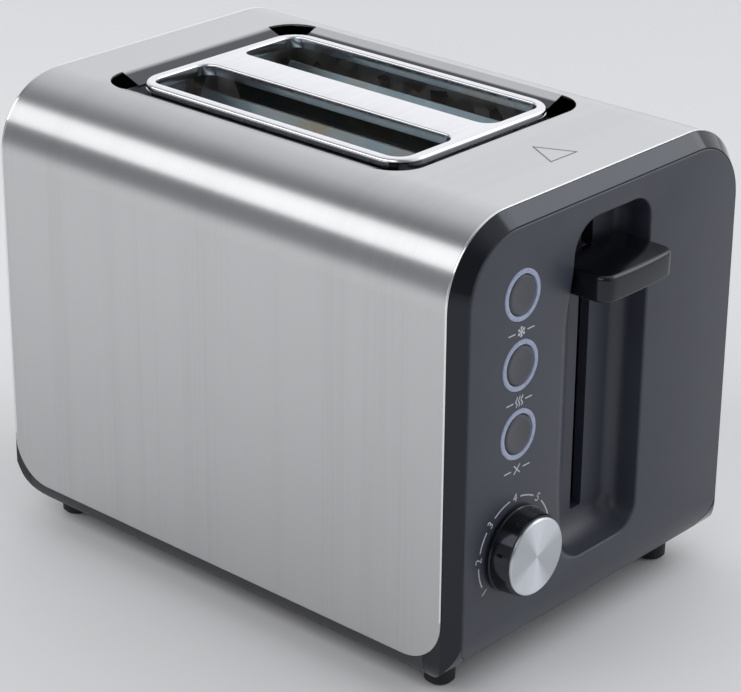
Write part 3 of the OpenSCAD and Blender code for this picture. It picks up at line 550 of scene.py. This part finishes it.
def loft(bm, count, steps, place, shut=True):
    """Draws a ring or an open run of count vertices through the steps; place(k, step) is where each
    goes. Returns the first and the last run of edges."""
    tag = bm.verts.layers.int.get("station") or bm.verts.layers.int.new("station")
    verts = [bm.verts.new(place(k, 0)) for k in range(count)]
    for k, vert in enumerate(verts):
        vert[tag] = k
    first = [bm.edges.new(pair) for pair in zip(verts, verts[1:] + (verts[:1] if shut else []))]
    last = first
    for step in range(1, steps):
        made = bmesh.ops.extrude_edge_only(bm, edges=last)["geom"]
        fresh = {g for g in made if isinstance(g, bmesh.types.BMVert)}
        for vert in fresh:
            vert.co = place(vert[tag], step)
        last = [g for g in made if isinstance(g, bmesh.types.BMEdge) and fresh.issuperset(g.verts)]
    return first, last


def edged(bm, stations, profile, plane):
    """A ring drawn through (inset, level) pairs, the inset measured inwards from the stations."""
    def place(k, step):
        a, b, normal_a, normal_b = stations[k]
        inset, level = profile[step]
        return plane(a - normal_a * inset, b - normal_b * inset, level)
    return loft(bm, len(stations), len(profile), place)


def rounding(radius, start, steps=4, sign=-1):
    """(inset, level) pairs of a quarter round from a face at level start over to the wall."""
    found = []
    for k in range(steps + 1):
        angle = math.pi / 2 * k / steps
        found.append((radius * (1 - math.sin(angle)), start + sign * radius * (1 - math.cos(angle))))
    return found


def fill(bm, edges, normal):
    bmesh.ops.triangle_fill(bm, use_beauty=True, use_dissolve=False, edges=edges, normal=normal)


def smoothstep(value, low, high):
    t = min(1.0, max(0.0, (value - low) / (high - low)))
    return t * t * (3 - 2 * t)


def finish_piece(bm, name, finish, body="root", replaces=(), angle=35.0, front=(1, 0, 0)):
    """Turns a bmesh in millimetres into a piece of the model that rides on a body."""
    bmesh.ops.remove_doubles(bm, verts=bm.verts, dist=0.0005)
    bmesh.ops.recalc_face_normals(bm, faces=bm.faces)
    ahead = Vector(front)
    foremost = max(bm.faces, key=lambda f: (f.calc_center_median().dot(ahead)
                                            + 0.01 * abs(f.normal.dot(ahead))))
    if foremost.normal.dot(ahead) < 0:
        bmesh.ops.reverse_faces(bm, faces=bm.faces)
    bmesh.ops.scale(bm, vec=(MM, MM, MM), verts=bm.verts)
    mesh = bpy.data.meshes.new(name)
    bm.to_mesh(mesh)
    bm.free()
    mesh.polygons.foreach_set("use_smooth", [True] * len(mesh.polygons))
    mesh.set_sharp_from_angle(angle=math.radians(angle))
    mesh.materials.append(FINISHES[finish])
    piece = bpy.data.objects.new(name, mesh)
    bpy.context.scene.collection.objects.link(piece)
    if body:
        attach(piece, body)
    if replaces:
        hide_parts(*replaces)
    return piece


def spin_profile(bm, points, middle, steps):
    """Turns a run of (x, radius) points round the line along X through middle."""
    verts = [bm.verts.new((x, middle.y + radius, middle.z)) for x, radius in points]
    edges = [bm.edges.new(pair) for pair in zip(verts, verts[1:])]
    bmesh.ops.spin(bm, geom=verts + edges, cent=(0, middle.y, middle.z), axis=(1, 0, 0),
                   dvec=(0, 0, 0), angle=math.tau, steps=steps, use_merge=True, use_duplicate=False)


# ---- control panel ----

KNOB_LOW, KNOB_HIGH = corners("lever_knob")
CHANNEL_DEPTH = 13.0
CHANNEL_GAP = 2.25
CHANNEL_DROP = 112.0
CHANNEL_TOP_GAP = 13.0
MOUTH_RADII = (12.0, 10.0, 13.5, 12.0)
CEILING_SLOPE = 3.5
ARM_HALF = 4.5
ARM_SLOT_HALF = 3.25
ARM_SLOT_LOW = 11.5
ARM_SLOT_HIGH = 4.0
SLEEVE = 4.0
SKIRT = 4.5
HOLE_DEPTH = 2.4
SHAFT_HOLE_R = 5.3
SWEEP_CUTS = 17
SWEEP_STEP = 4.0
LEVER_Z = corners("lever_arm")[1].z - ARM_HALF
CHANNEL_LOW = (KNOB_LOW.y - CHANNEL_GAP, LEVER_Z - CHANNEL_DROP)
CHANNEL_HIGH = (KNOB_HIGH.y + CHANNEL_GAP, SHELL_HIGH.z - CHANNEL_TOP_GAP)


def panel_outline():
    """Outline of the panel face: wide above, narrower where it sweeps under."""
    half = SHELL_HIGH.y - CAP_DEPTH
    top_radius = TOP_R - CAP_DEPTH
    low_radius, low_z = 12.0, FOOT_H + 20.0
    narrowing = 5.4
    reach = math.degrees(math.acos((low_radius - narrowing) / low_radius))
    tucked = FACE_X - corners("base")[1].x - 0.2
    toe_z = SWEEP_Z - math.sqrt(SWEEP_R ** 2 - (SWEEP_R - tucked) ** 2)
    right = [(half - narrowing, toe_z, 1.0, 0.0)]
    right += arc((half - low_radius, low_z), low_radius, -reach, 0, 8)
    right += arc((SHELL_HIGH.y - TOP_R, SHELL_HIGH.z - TOP_R), top_radius, 0, 90, 18)
    left = [(-y, z, -ny, nz) for y, z, ny, nz in reversed(right)]
    return right + left


def swept(co):
    """A point of the panel bent back along the sweep under the end of the body."""
    drop = max(0.0, SWEEP_Z - co.z)
    back = SWEEP_R - math.sqrt(max(0.0, SWEEP_R ** 2 - drop ** 2))
    return Vector((co.x - back, co.y, co.z))


def ramp_share(station):
    """How far a station of the channel's mouth takes the soft ramp: its left side below the knob."""
    _, z, outward_y, _ = station
    side = smoothstep(-outward_y, 0.2, 1.0)
    below = 1 - smoothstep(z, KNOB_LOW.z - 12.0, KNOB_HIGH.z + 2.0)
    above = 0.45 + 0.55 * smoothstep(z, CHANNEL_LOW[1] + 6.0, CHANNEL_LOW[1] + 36.0)
    return side * below * above


def channel_steps(fillet, ramp):
    """For each step down the channel wall, (inset, depth) on the steep side and on the ramp."""
    steep = [(inset, -level) for inset, level in rounding(0.9, 0.0)]
    steep = [(0.9 - inset, depth) for inset, depth in steep]
    foot = CHANNEL_DEPTH - fillet
    steep.append((1.1, foot - 2.0))
    for k in range(9):
        angle = math.pi / 2 * k / 8
        steep.append((1.2 + fillet * (1 - math.cos(angle)), foot + fillet * math.sin(angle)))
    last = len(steep) - 1
    soft = [(ramp * k / last - 5.2, CHANNEL_DEPTH * smoothstep(k / last, 0.0, 1.0))
            for k in range(last + 1)]
    return list(zip(steep, soft))


def front_panel(look):
    """Panel face with its lever channel, round holes and arm slot, bent back under the body."""
    edge = look.edge / MM
    steps = channel_steps(look.channel_fillet / MM, look.ramp / MM)
    bm = bmesh.new()
    outline = spaced(panel_outline(), 12.0)
    face_ring, _ = edged(bm, outline, rounding(edge, FACE_X) + [(0.0, FACE_X - SKIRT)], on_panel)

    mouth = spaced(rounded_box(CHANNEL_LOW, CHANNEL_HIGH, MOUTH_RADII, 12), 3.0)
    shares = [ramp_share(station) for station in mouth]

    def wall(k, step):
        y, z, outward_y, outward_z = mouth[k]
        (steep_inset, steep_depth), (soft_inset, soft_depth) = steps[step]
        inset = steep_inset + (soft_inset - steep_inset) * shares[k]
        depth = steep_depth + (soft_depth - steep_depth) * shares[k]
        if outward_z < 0:
            inset += CEILING_SLOPE * outward_z ** 2 * smoothstep(depth, 2.0, CHANNEL_DEPTH)
        return on_panel(y - outward_y * inset, z - outward_z * inset, FACE_X - depth)

    mouth_ring, floor_ring = loft(bm, len(mouth), len(steps), wall)
    dial = centre("dial_skirt")
    holes = []
    for name in BUTTONS:
        low, high = corners("ring_" + name)
        middle = (low + high) / 2
        holes.append((middle, (high.y - low.y) / 2 + 0.1, 64))
    holes.append((dial, SHAFT_HOLE_R, 48))
    flat = face_ring + mouth_ring
    for middle, radius, sides in holes:
        hole = arc((middle.y, middle.z), radius, 0, 360, sides)[:-1]
        flat += edged(bm, hole, ((0, FACE_X), (0, FACE_X - HOLE_DEPTH)), on_panel)[0]
    fill(bm, flat, (1, 0, 0))

    floor_x = FACE_X - CHANNEL_DEPTH
    arm_y = centre("lever_arm").y
    slot = rounded_box((arm_y - ARM_SLOT_HALF, CHANNEL_LOW[1] + ARM_SLOT_LOW),
                       (arm_y + ARM_SLOT_HALF, CHANNEL_HIGH[1] - ARM_SLOT_HIGH), (1.0,) * 4, 3)
    slot_ring, _ = edged(bm, slot, ((0, floor_x), (0, floor_x - SLEEVE)), on_panel)
    fill(bm, floor_ring + slot_ring, (1, 0, 0))

    for k in range(1, SWEEP_CUTS + 1):
        level = SWEEP_Z - SWEEP_R * math.sin(math.radians(SWEEP_STEP * k))
        bmesh.ops.bisect_plane(bm, geom=bm.verts[:] + bm.edges[:] + bm.faces[:], dist=1e-5,
                               plane_co=(0, 0, level), plane_no=(0, 0, 1),
                               clear_inner=False, clear_outer=False)
    for vert in bm.verts:
        vert.co = swept(vert.co)
    finish_piece(bm, "control_panel", "slate_plastic", replaces=("front_panel",), angle=30.0)


class TOASTER_OT_front_panel(bpy.types.Operator):
    """Mould the slate control panel with its lever channel, holes and swept lower edge"""
    bl_idname = "toaster.front_panel"
    bl_label = "Control panel"

    def execute(self, context):
        front_panel(context.scene.panel_look)
        return {"FINISHED"}


# ---- slot frame ----

FRAME_CORNER = 12.0
SLOT_HALF_X = 64.0
SLOT_HALF_Y = 15.5
SLOT_CORNER = 6.0
HEM_START = 19.0
HEM_BEAD = ((0.25, -1.05), (-0.02, -1.0), (-0.14, -0.8), (-0.20, -0.5), (-0.16, -0.22), (-0.02, -0.04),
            (0.3, 0.02), (0.5, -0.2))


def slot_frame(look):
    """Polished pressing with a rolled rim, a fine groove along its side and two slot lips."""
    low, high = corners("slot_frame")
    top, under = high.z, low.z
    radius = look.frame_round / MM
    lip, sheet = 1.0, 1.0
    bm = bmesh.new()
    outline = rounded_box((low.x, low.y), (high.x, high.y), (FRAME_CORNER,) * 4, 14)
    groove = [(0.0, under + 2.6), (0.35, under + 2.4), (0.35, under + 2.1), (0.0, under + 1.9)]
    rim = rounding(radius, top, 6) + groove + [(0.0, under), (lip, under), (lip, top - sheet)]
    upper, lower = edged(bm, outline, rim, on_top)
    slot_x = centre("guard_left_outer").x
    for side in ("left", "right"):
        slot_y = centre("lifter_" + side).y
        hole = rounded_box((slot_x - SLOT_HALF_X, slot_y - SLOT_HALF_Y),
                           (slot_x + SLOT_HALF_X, slot_y + SLOT_HALF_Y), (SLOT_CORNER,) * 4, 8)
        turned = [(-inset, level) for inset, level in rounding(0.9, top)]
        wall = turned + [(0.0, under), (-lip, under), (-lip, top - sheet)]
        first, last = edged(bm, hole, wall, on_top)
        upper += first
        lower += last
    fill(bm, upper, (0, 0, 1))
    fill(bm, lower, (0, 0, -1))
    finish_piece(bm, "bread_slot_frame", "polished_frame", replaces=("slot_frame",), front=(0, 0, 1))


class TOASTER_OT_slot_frame(bpy.types.Operator):
    """Press the polished frame round the bread slots and the bead on the steel's ends"""
    bl_idname = "toaster.slot_frame"
    bl_label = "Slot frame and steel hem"

    def execute(self, context):
        slot_frame(context.scene.shell_look)
        steel_hem()
        return {"FINISHED"}


def steel_hem():
    """Bright rolled bead along both ends of the steel, where it meets the mouldings."""
    side_y, side_z = SHELL_HIGH.y - TOP_R, SHELL_HIGH.z - TOP_R
    run = [(SHELL_HIGH.y, SHELL_LOW.z + HEM_START, 1.0, 0.0)] + arc((side_y, side_z), TOP_R, 0, 90, 24)
    run += [(-y, z, -ny, nz) for y, z, ny, nz in reversed(run)]
    for name, end, sense in (("steel_hem_front", SHELL_HIGH.x, 1), ("steel_hem_rear", SHELL_LOW.x, -1)):
        bm = bmesh.new()

        def place(k, step):
            y, z, normal_y, normal_z = run[k]
            inset, along = HEM_BEAD[step]
            return Vector((end + sense * along, y - normal_y * inset, z - normal_z * inset))

        loft(bm, len(run), len(HEM_BEAD), place, shut=False)
        finish_piece(bm, name, "polished_frame", front=(0, 0, 1))


# ---- lever knob ----


def lever_knob(look):
    """Gloss knob: rounded front corners, a bowed front, and a crowned top that rises to the panel."""
    low, high = KNOB_LOW, KNOB_HIGH
    rise = 3.4
    front_top = high.z - rise
    corner = 5.0
    bow = look.knob_bow / MM
    top_round, low_round = 1.6, 1.1
    roof_front = high.x - 1.4
    middle_y, half = (low.y + high.y) / 2, (high.y - low.y) / 2

    def crown(y):
        return max(0.0, 1 - ((y - middle_y) / half) ** 2)

    bm = bmesh.new()
    outline = rounded_box((low.x, low.y), (high.x - bow, high.y), (corner, corner, 0.6, 0.6), 8)
    outline = [(x + bow * crown(y) * smoothstep(x, high.x - 3, high.x - bow), y, nx, ny)
               for x, y, nx, ny in spaced(outline, 2.0)]
    profile = [(inset, depth, 0) for inset, depth in rounding(low_round, 0.0, 4, 1)]
    profile += [(inset, -depth, 1) for inset, depth in reversed(rounding(top_round, 0.0, 6, 1))]

    def place(k, step):
        x, y, normal_x, normal_y = outline[k]
        inset, level, upper = profile[step]
        x, y = x - normal_x * inset, y - normal_y * inset
        roof = front_top + rise * crown(y) * (roof_front - x) / (roof_front - low.x)
        return Vector((x, y, (roof if upper else low.z) + level))

    first, last = loft(bm, len(outline), len(profile), place)
    fill(bm, first, (0, 0, -1))
    fill(bm, last, (0, 0, 1))
    finish_piece(bm, "lever_grip", "black_plastic", "lever", ("lever_knob",), angle=40.0)


class TOASTER_OT_lever_knob(bpy.types.Operator):
    """Mould the knob of the lever"""
    bl_idname = "toaster.lever_knob"
    bl_label = "Lever knob"

    def execute(self, context):
        lever_knob(context.scene.control_look)
        return {"FINISHED"}


# ---- buttons and their rings ----


def push_button(name):
    """Slightly dished button head on its stem."""
    low, high = corners("button_" + name)
    middle = (low + high) / 2
    flange = (high.y - low.y) / 2
    radius = flange - 1.0
    face = high.x
    dish = [(face - 0.35 * (1 - (k / 6) ** 2), radius * 0.86 * k / 6) for k in range(7)]
    dish[0] = (face - 0.35, 0.0)
    edge = [(face - 0.05, radius * 0.90), (face - 0.18, radius - 0.35), (face - 0.42, radius - 0.1),
            (face - 0.8, radius), (face - 3.6, radius), (face - 3.6, flange), (face - 4.8, flange),
            (face - 4.8, 2.5), (low.x, 2.5), (low.x, 0.0)]
    bm = bmesh.new()
    spin_profile(bm, dish + edge, middle, 72)
    finish_piece(bm, "push_button_" + name, "button_plastic", "button_" + name, ("button_" + name,))


def light_ring(name):
    """Milky ring with softened edges that stands just proud of the panel."""
    low, high = corners("ring_" + name)
    middle = (low + high) / 2
    outer = (high.y - low.y) / 2
    inner = (corners("button_" + name)[1].y - corners("button_" + name)[0].y) / 2 - 0.8 + 0.15
    face, back = high.x, low.x
    points = [(back, inner), (face - 0.4, inner), (face - 0.12, inner + 0.1), (face, inner + 0.42),
              (face, outer - 0.5), (face - 0.14, outer - 0.14), (face - 0.45, outer), (back, outer),
              (back, inner)]
    bm = bmesh.new()
    spin_profile(bm, points, middle, 72)
    finish_piece(bm, "light_ring_" + name, "ring_plastic", "root", ("ring_" + name,))


class TOASTER_OT_buttons(bpy.types.Operator):
    """Mould the three push buttons and their light rings"""
    bl_idname = "toaster.buttons"
    bl_label = "Buttons and rings"

    def execute(self, context):
        for name in BUTTONS:
            push_button(name)
            light_ring(name)
        return {"FINISHED"}


# ---- dial ----


POINTER_ANGLE = 163


def dial_skirt():
    """Gloss skirt with a step at the panel, a slight taper and a pointer nub."""
    low, high = corners("dial_skirt")
    middle = centre("dial_shaft")
    radius = (high.y - low.y) / 2
    back, front = low.x, high.x
    top = radius - 1.2
    points = [(back, 3.0), (back, radius - 0.4), (back + 0.3, radius), (back + 1.3, radius),
              (back + 1.6, radius - 0.35), (front - 0.7, top + 0.02), (front - 0.2, top - 0.15),
              (front, top - 0.45), (front, top - 0.75), (front - 0.6, top - 0.85),
              (front - 0.6, 3.0), (back, 3.0)]
    bm = bmesh.new()
    spin_profile(bm, points, middle, 128)
    nub = bmesh.ops.create_cube(bm, size=1.0)["verts"]
    bmesh.ops.scale(bm, vec=(4.4, 1.9, 1.2), verts=nub)
    edges = list({e for v in nub for e in v.link_edges})
    made = bmesh.ops.bevel(bm, geom=edges, offset=0.3, offset_type="OFFSET", affect="EDGES", segments=2,
                           profile=0.5, material=-1)["verts"]
    bmesh.ops.translate(bm, vec=(front - 2.8, top - 0.1, 0), verts=made)
    turn = Matrix.Rotation(math.radians(POINTER_ANGLE), 3, "X")
    bmesh.ops.rotate(bm, cent=(0, 0, 0), matrix=turn, verts=made)
    bmesh.ops.translate(bm, vec=(0, middle.y, middle.z), verts=made)
    finish_piece(bm, "dial_grip", "black_plastic", "dial", ("dial_skirt",))


def dial_cap():
    """Turned metal disc with a bright cut edge."""
    low, high = corners("dial_cap")
    middle = (low + high) / 2
    radius = (high.y - low.y) / 2
    points = [(low.x, 0.0), (low.x, radius), (high.x - 0.45, radius), (high.x - 0.12, radius - 0.33),
              (high.x, radius - 0.55)]
    points += [(high.x, radius * share) for share in (0.8, 0.6, 0.4, 0.2)] + [(high.x, 0.0)]
    bm = bmesh.new()
    spin_profile(bm, points, middle, 128)
    finish_piece(bm, "dial_face", "dial_metal", "dial", ("dial_cap",), angle=25.0)


class TOASTER_OT_dial(bpy.types.Operator):
    """Turn the dial's skirt and its metal face"""
    bl_idname = "toaster.dial"
    bl_label = "Dial"

    def execute(self, context):
        dial_skirt()
        dial_cap()
        return {"FINISHED"}


# ---- lift spring ----


def lift_spring():
    """Tension spring, wound in the place of the frame's lift spring from its foot to its head."""
    low, high = corners("lift_spring")
    middle = (low + high) / 2
    wire, turns, sides = 0.45, 13, 8
    radius = (high.x - low.x) / 2 - wire
    bm = bmesh.new()
    made = bmesh.ops.create_circle(bm, cap_ends=False, radius=wire, segments=sides)["verts"]
    bmesh.ops.rotate(bm, cent=(0, 0, 0), matrix=Matrix.Rotation(math.pi / 2, 3, "X"), verts=made)
    bmesh.ops.translate(bm, vec=(middle.x + radius, middle.y, low.z + wire), verts=made)
    steps = turns * 20
    climb = (high.z - low.z - 2 * wire) / steps
    edges = list({e for v in made for e in v.link_edges})
    bmesh.ops.spin(bm, geom=made + edges, cent=(middle.x, middle.y, 0), axis=(0, 0, 1),
                   dvec=(0, 0, climb), angle=math.tau * turns, steps=steps, use_merge=False,
                   use_duplicate=False)
    bmesh.ops.holes_fill(bm, edges=[e for e in bm.edges if e.is_boundary], sides=sides)
    piece = finish_piece(bm, "lift_spring_coil", "machined_steel", None, ("lift_spring",), front=(0, 0, 1))
    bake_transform(piece)


class TOASTER_OT_lift_spring(bpy.types.Operator):
    """Wind the spring that lifts the carriage"""
    bl_idname = "toaster.lift_spring"
    bl_label = "Lift spring"

    def execute(self, context):
        lift_spring()
        return {"FINISHED"}


# ---- printed marks ----

PRINT_T = 0.05
PRINT_GAP = 0.01
SCALE_R = 19.7
SCALE_GAP = 8.5
SCALE_END = 19.0
SYMBOL_DROP = 13.6


def line(bm, points, width, place, shut=False):
    """A flat printed line through the points, drawn with square joins; each stroke lies a hair
    above the last, so that crossing strokes don't share a plane."""
    count = len(points)
    up = (place(0, 0) - place(1, 0)).cross(place(0, 0) - place(0, 1)) * 0.002
    for k in range(count if shut else count - 1):
        here, there = Vector(points[k]), Vector(points[(k + 1) % count])
        along = (there - here).normalized() * width / 2
        across = Vector((-along.y, along.x))
        here, there = here - along, there + along
        ends = (here + across, here - across, there - across, there + across)
        bm.faces.new([bm.verts.new(place(p.x, p.y) + up * (len(bm.faces) + 1)) for p in ends])


def print_arc(bm, middle, radius, start, end, width, x):
    """A printed arc round middle, from one angle to another, in degrees from +Y towards +Z."""
    turn = math.radians(start)
    ends = [bm.verts.new((x, middle.y + r * math.cos(turn), middle.z + r * math.sin(turn)))
            for r in (radius - width / 2, radius + width / 2)]
    steps = max(2, math.ceil(abs(end - start) / 4))
    bmesh.ops.spin(bm, geom=ends + [bm.edges.new(ends)], cent=(x, middle.y, middle.z), axis=(1, 0, 0),
                   dvec=(0, 0, 0), angle=math.radians(end - start), steps=steps, use_merge=False,
                   use_duplicate=False)


def digit(bm, text, height, matrix):
    """A number made a mesh, then put in place by matrix."""
    curve = bpy.data.curves.new("digit", "FONT")
    curve.body = text
    curve.size = height / 0.72
    curve.align_x = "CENTER"
    curve.align_y = "CENTER"
    holder = bpy.data.objects.new("digit", curve)
    bpy.context.scene.collection.objects.link(holder)
    bpy.context.view_layer.update()
    graph = bpy.context.evaluated_depsgraph_get()
    mesh = bpy.data.meshes.new_from_object(holder.evaluated_get(graph))
    mesh.transform(matrix)
    bm.from_mesh(mesh)
    bpy.data.objects.remove(holder)
    bpy.data.curves.remove(curve)
    bpy.data.meshes.remove(mesh)


def thicken(bm, normal):
    """Gives the flat print its thickness, away from the surface."""
    bm.normal_update()
    for face in bm.faces:
        if face.normal.dot(normal) < 0:
            face.normal_flip()
    made = bmesh.ops.extrude_face_region(bm, geom=bm.faces[:], use_keep_orig=True)["geom"]
    top = [g for g in made if isinstance(g, bmesh.types.BMVert)]
    bmesh.ops.translate(bm, vec=normal * PRINT_T, verts=top)


DIAL_NUMBERS = (("1", 216.0), ("2", 174.0), ("3", 134.0), ("4", 91.0), ("5", 51.0))


def dial_scale(look):
    """Scale round the dial: an arc broken by the numbers."""
    dial = centre("dial_shaft")
    width = look.line / MM
    x = FACE_X + PRINT_GAP
    bm = bmesh.new()
    turns = [angle for _, angle in DIAL_NUMBERS]
    for start, end in zip(turns, turns[1:] + [SCALE_END - SCALE_GAP]):
        print_arc(bm, dial, SCALE_R, start - SCALE_GAP, end + SCALE_GAP, width, x)
    for text, angle in DIAL_NUMBERS:
        turn = math.radians(angle)
        spot = Vector((x, dial.y + SCALE_R * math.cos(turn), dial.z + SCALE_R * math.sin(turn)))
        upright = Matrix(((0, 0, 1, 0), (1, 0, 0, 0), (0, 1, 0, 0), (0, 0, 0, 1)))
        tilt = Matrix.Rotation(turn - math.pi / 2, 4, "X")
        digit(bm, text, look.digit / MM, Matrix.Translation(spot) @ tilt @ upright)
    thicken(bm, Vector((1, 0, 0)))
    finish_piece(bm, "dial_scale_print", "pad_print")


def snowflake(draw):
    for k in range(3):
        turn = math.radians(60 * k + 90)
        tip = Vector((math.cos(turn), math.sin(turn))) * 1.9
        draw((tip, -tip))
        for end in (1, -1):
            for lean in (35, -35):
                barb = Matrix.Rotation(math.radians(lean), 2) @ (tip * 0.32 * end)
                draw((tip * 0.55 * end, tip * 0.55 * end + barb))


def heat_waves(draw):
    for k in (-1, 0, 1):
        draw([Vector((1.45 * k + 0.42 * math.sin(t * math.tau / 6), -1.8 + 3.6 * t / 8)) for t in range(9)])


def cross(draw):
    for s in (1, -1):
        draw((Vector((-1.5, -1.5 * s)), Vector((1.5, 1.5 * s))))


SYMBOLS = {"defrost": snowflake, "reheat": heat_waves, "cancel": cross}


def button_symbols(look):
    """Small pictograms under the buttons, each between two short dashes."""
    width = look.line / MM * 0.85
    for name in BUTTONS:
        middle = centre("ring_" + name)
        bm = bmesh.new()

        def place(a, b):
            return Vector((FACE_X + PRINT_GAP, middle.y + a, middle.z - SYMBOL_DROP + b))

        def draw(points):
            line(bm, points, width, place)

        SYMBOLS[name](draw)
        for s in (1, -1):
            draw((Vector((3.5 * s, 0)), Vector((6.8 * s, 0))))
        thicken(bm, Vector((1, 0, 0)))
        finish_piece(bm, "symbol_print_" + name, "pad_print")


def top_mark(look):
    """Plain triangle outline etched in the top, near the controls."""
    shift = SHELL_HIGH.x - 113.0
    tips = [Vector((x + shift, y)) for x, y in ((81.0, 1.4), (95.7, 8.0), (95.5, -6.5))]
    bm = bmesh.new()
    line(bm, tips, look.line / MM * 0.9, lambda x, y: Vector((x, y, SHELL_HIGH.z + PRINT_GAP)), shut=True)
    thicken(bm, Vector((0, 0, 1)))
    finish_piece(bm, "top_mark_etch", "etched_line", front=(0, 0, 1))


class TOASTER_OT_marks(bpy.types.Operator):
    """Print the dial's scale and the pictograms, and etch the mark on the top"""
    bl_idname = "toaster.marks"
    bl_label = "Printed marks"

    def execute(self, context):
        look = context.scene.control_look
        dial_scale(look)
        button_symbols(look)
        top_mark(look)
        return {"FINISHED"}


# ---- stage ----

CAMERA_TARGET = (-1.705, 0.06, 83.39)
SKY_STOPS = ((0.0, 0.46), (0.14, 0.22), (0.36, 0.20), (0.39, 0.22), (0.44, 0.33), (0.50, 0.50),
             (0.575, 0.74), (0.84, 1.00), (1.0, 1.05))
FLOOR_R = 9.0


def camera(look):
    """Camera at an azimuth, elevation and roll round its target."""
    turn, lift = look.azimuth, look.elevation
    back = Vector((math.sin(turn) * math.cos(lift), -math.cos(turn) * math.cos(lift), math.sin(lift)))
    target = Vector(CAMERA_TARGET) * MM
    right = Vector((math.cos(turn), math.sin(turn), 0.0))
    up = back.cross(right)
    rolled_right = right * math.cos(look.roll) + up * math.sin(look.roll)
    rolled_up = up * math.cos(look.roll) - right * math.sin(look.roll)
    axes = Matrix((rolled_right, rolled_up, back)).transposed().to_4x4()
    data = bpy.data.cameras.new("camera")
    data.lens = look.lens
    data.sensor_width = 36.0
    data.sensor_fit = "HORIZONTAL"
    data.clip_start = 0.05
    data.clip_end = 50.0
    made = bpy.data.objects.new("camera", data)
    bpy.context.scene.collection.objects.link(made)
    made.matrix_world = Matrix.Translation(target + back * look.distance) @ axes
    bpy.context.scene.camera = made


def sky():
    """Soft grey room: darker behind the camera's left, brighter above and behind the object."""
    world = bpy.data.worlds.new("studio")
    bpy.context.scene.world = world
    world.use_nodes = True
    tree = world.node_tree
    shade = tree.nodes["Background"]
    where = tree.nodes.new("ShaderNodeTexCoord").outputs["Generated"]
    split = tree.nodes.new("ShaderNodeSeparateXYZ")
    tree.links.new(where, split.inputs[0])
    half = tree.nodes.new("ShaderNodeMath")
    half.operation = "MULTIPLY_ADD"
    half.inputs[1].default_value = 0.5
    half.inputs[2].default_value = 0.5
    tree.links.new(split.outputs["Y"], half.inputs[0])
    ramp = tree.nodes.new("ShaderNodeValToRGB")
    stops = []
    for position, value in SKY_STOPS:
        cool = 0.05 if value < 0.4 else 0.015
        stops.append((position, (value * (1 - cool), value, value * (1 + 2 * cool))))
    set_stops(ramp, stops)
    tree.links.new(half.outputs[0], ramp.inputs[0])
    tree.links.new(ramp.outputs[0], shade.inputs[0])
    shade.inputs[1].default_value = 1.0


def soft_light(name, middle, facing, size, power):
    """Rectangular light at middle, aimed at the point facing, unseen by the camera."""
    data = bpy.data.lights.new(name, "AREA")
    data.shape = "RECTANGLE"
    data.size, data.size_y = size
    data.energy = power
    made = bpy.data.objects.new(name, data)
    bpy.context.scene.collection.objects.link(made)
    aim = (Vector(facing) - Vector(middle)).normalized()
    side = (Vector((1, 0, 0)) - aim * aim.x).normalized()
    axes = Matrix((side, (-aim).cross(side), -aim)).transposed().to_4x4()
    made.matrix_world = Matrix.Translation(middle) @ axes
    made.visible_camera = False
    return made


def stage(look):
    """Round pale floor under a soft sky, with one long light in front and one behind."""
    camera(look)
    sky()
    bm = bmesh.new()
    bmesh.ops.create_circle(bm, cap_ends=True, cap_tris=False, segments=96, radius=FLOOR_R)
    mesh = bpy.data.meshes.new("floor")
    bm.to_mesh(mesh)
    bm.free()
    made = Finish("floor", look.floor, 0.85, 0.0, Specular_IOR_Level=0.2)
    made.tint(made.noise(made.place(), 3.0, 2.0), look.floor, 0.008)
    mesh.materials.append(made.material)
    floor = bpy.data.objects.new("floor", mesh)
    bpy.context.scene.collection.objects.link(floor)
    soft_light("long_strip", middle=(-0.9, -0.98, 1.078), facing=(-0.9, -0.02, 0.15),
               size=(3.2, 0.733), power=12.0)
    soft_light("back_soft", middle=(0.75, 1.25, 1.15), facing=(0.08, 0.0, 0.15),
               size=(1.0, 0.8), power=5.0)
    bpy.context.scene.view_settings.view_transform = "Standard"


class TOASTER_OT_stage(bpy.types.Operator):
    """Set the camera, the floor and the soft studio light"""
    bl_idname = "toaster.stage"
    bl_label = "Stage"

    def execute(self, context):
        stage(context.scene.stage_look)
        return {"FINISHED"}


# ---- add-on ----

STEPS = (TOASTER_OT_finishes, TOASTER_OT_front_panel, TOASTER_OT_slot_frame, TOASTER_OT_lever_knob,
         TOASTER_OT_buttons, TOASTER_OT_dial, TOASTER_OT_lift_spring, TOASTER_OT_marks, TOASTER_OT_stage)

LOOKS = (("shell_look", ShellLook), ("panel_look", PanelLook), ("control_look", ControlLook),
         ("stage_look", StageLook))


class TOASTER_PT_sidebar(bpy.types.Panel):
    """Sizes, colours and steps of the toaster"""
    bl_idname = "TOASTER_PT_sidebar"
    bl_label = "Toaster"
    bl_space_type = "VIEW_3D"
    bl_region_type = "UI"
    bl_category = "Toaster"

    def draw(self, context):
        for name, look in LOOKS:
            column = self.layout.column(align=True)
            for key in look.__annotations__:
                column.prop(getattr(context.scene, name), key)
        column = self.layout.column(align=True)
        for step in STEPS:
            column.operator(step.bl_idname)


def register():
    for name, look in LOOKS:
        bpy.utils.register_class(look)
        setattr(bpy.types.Scene, name, bpy.props.PointerProperty(type=look))
    for made in STEPS + (TOASTER_PT_sidebar,):
        bpy.utils.register_class(made)


def unregister():
    for made in reversed(STEPS + (TOASTER_PT_sidebar,)):
        bpy.utils.unregister_class(made)
    for name, look in reversed(LOOKS):
        delattr(bpy.types.Scene, name)
        bpy.utils.unregister_class(look)


def main():
    register()
    for step in STEPS:
        group, name = step.bl_idname.split(".")
        getattr(getattr(bpy.ops, group), name)()


if __name__ == "__main__":
    main()
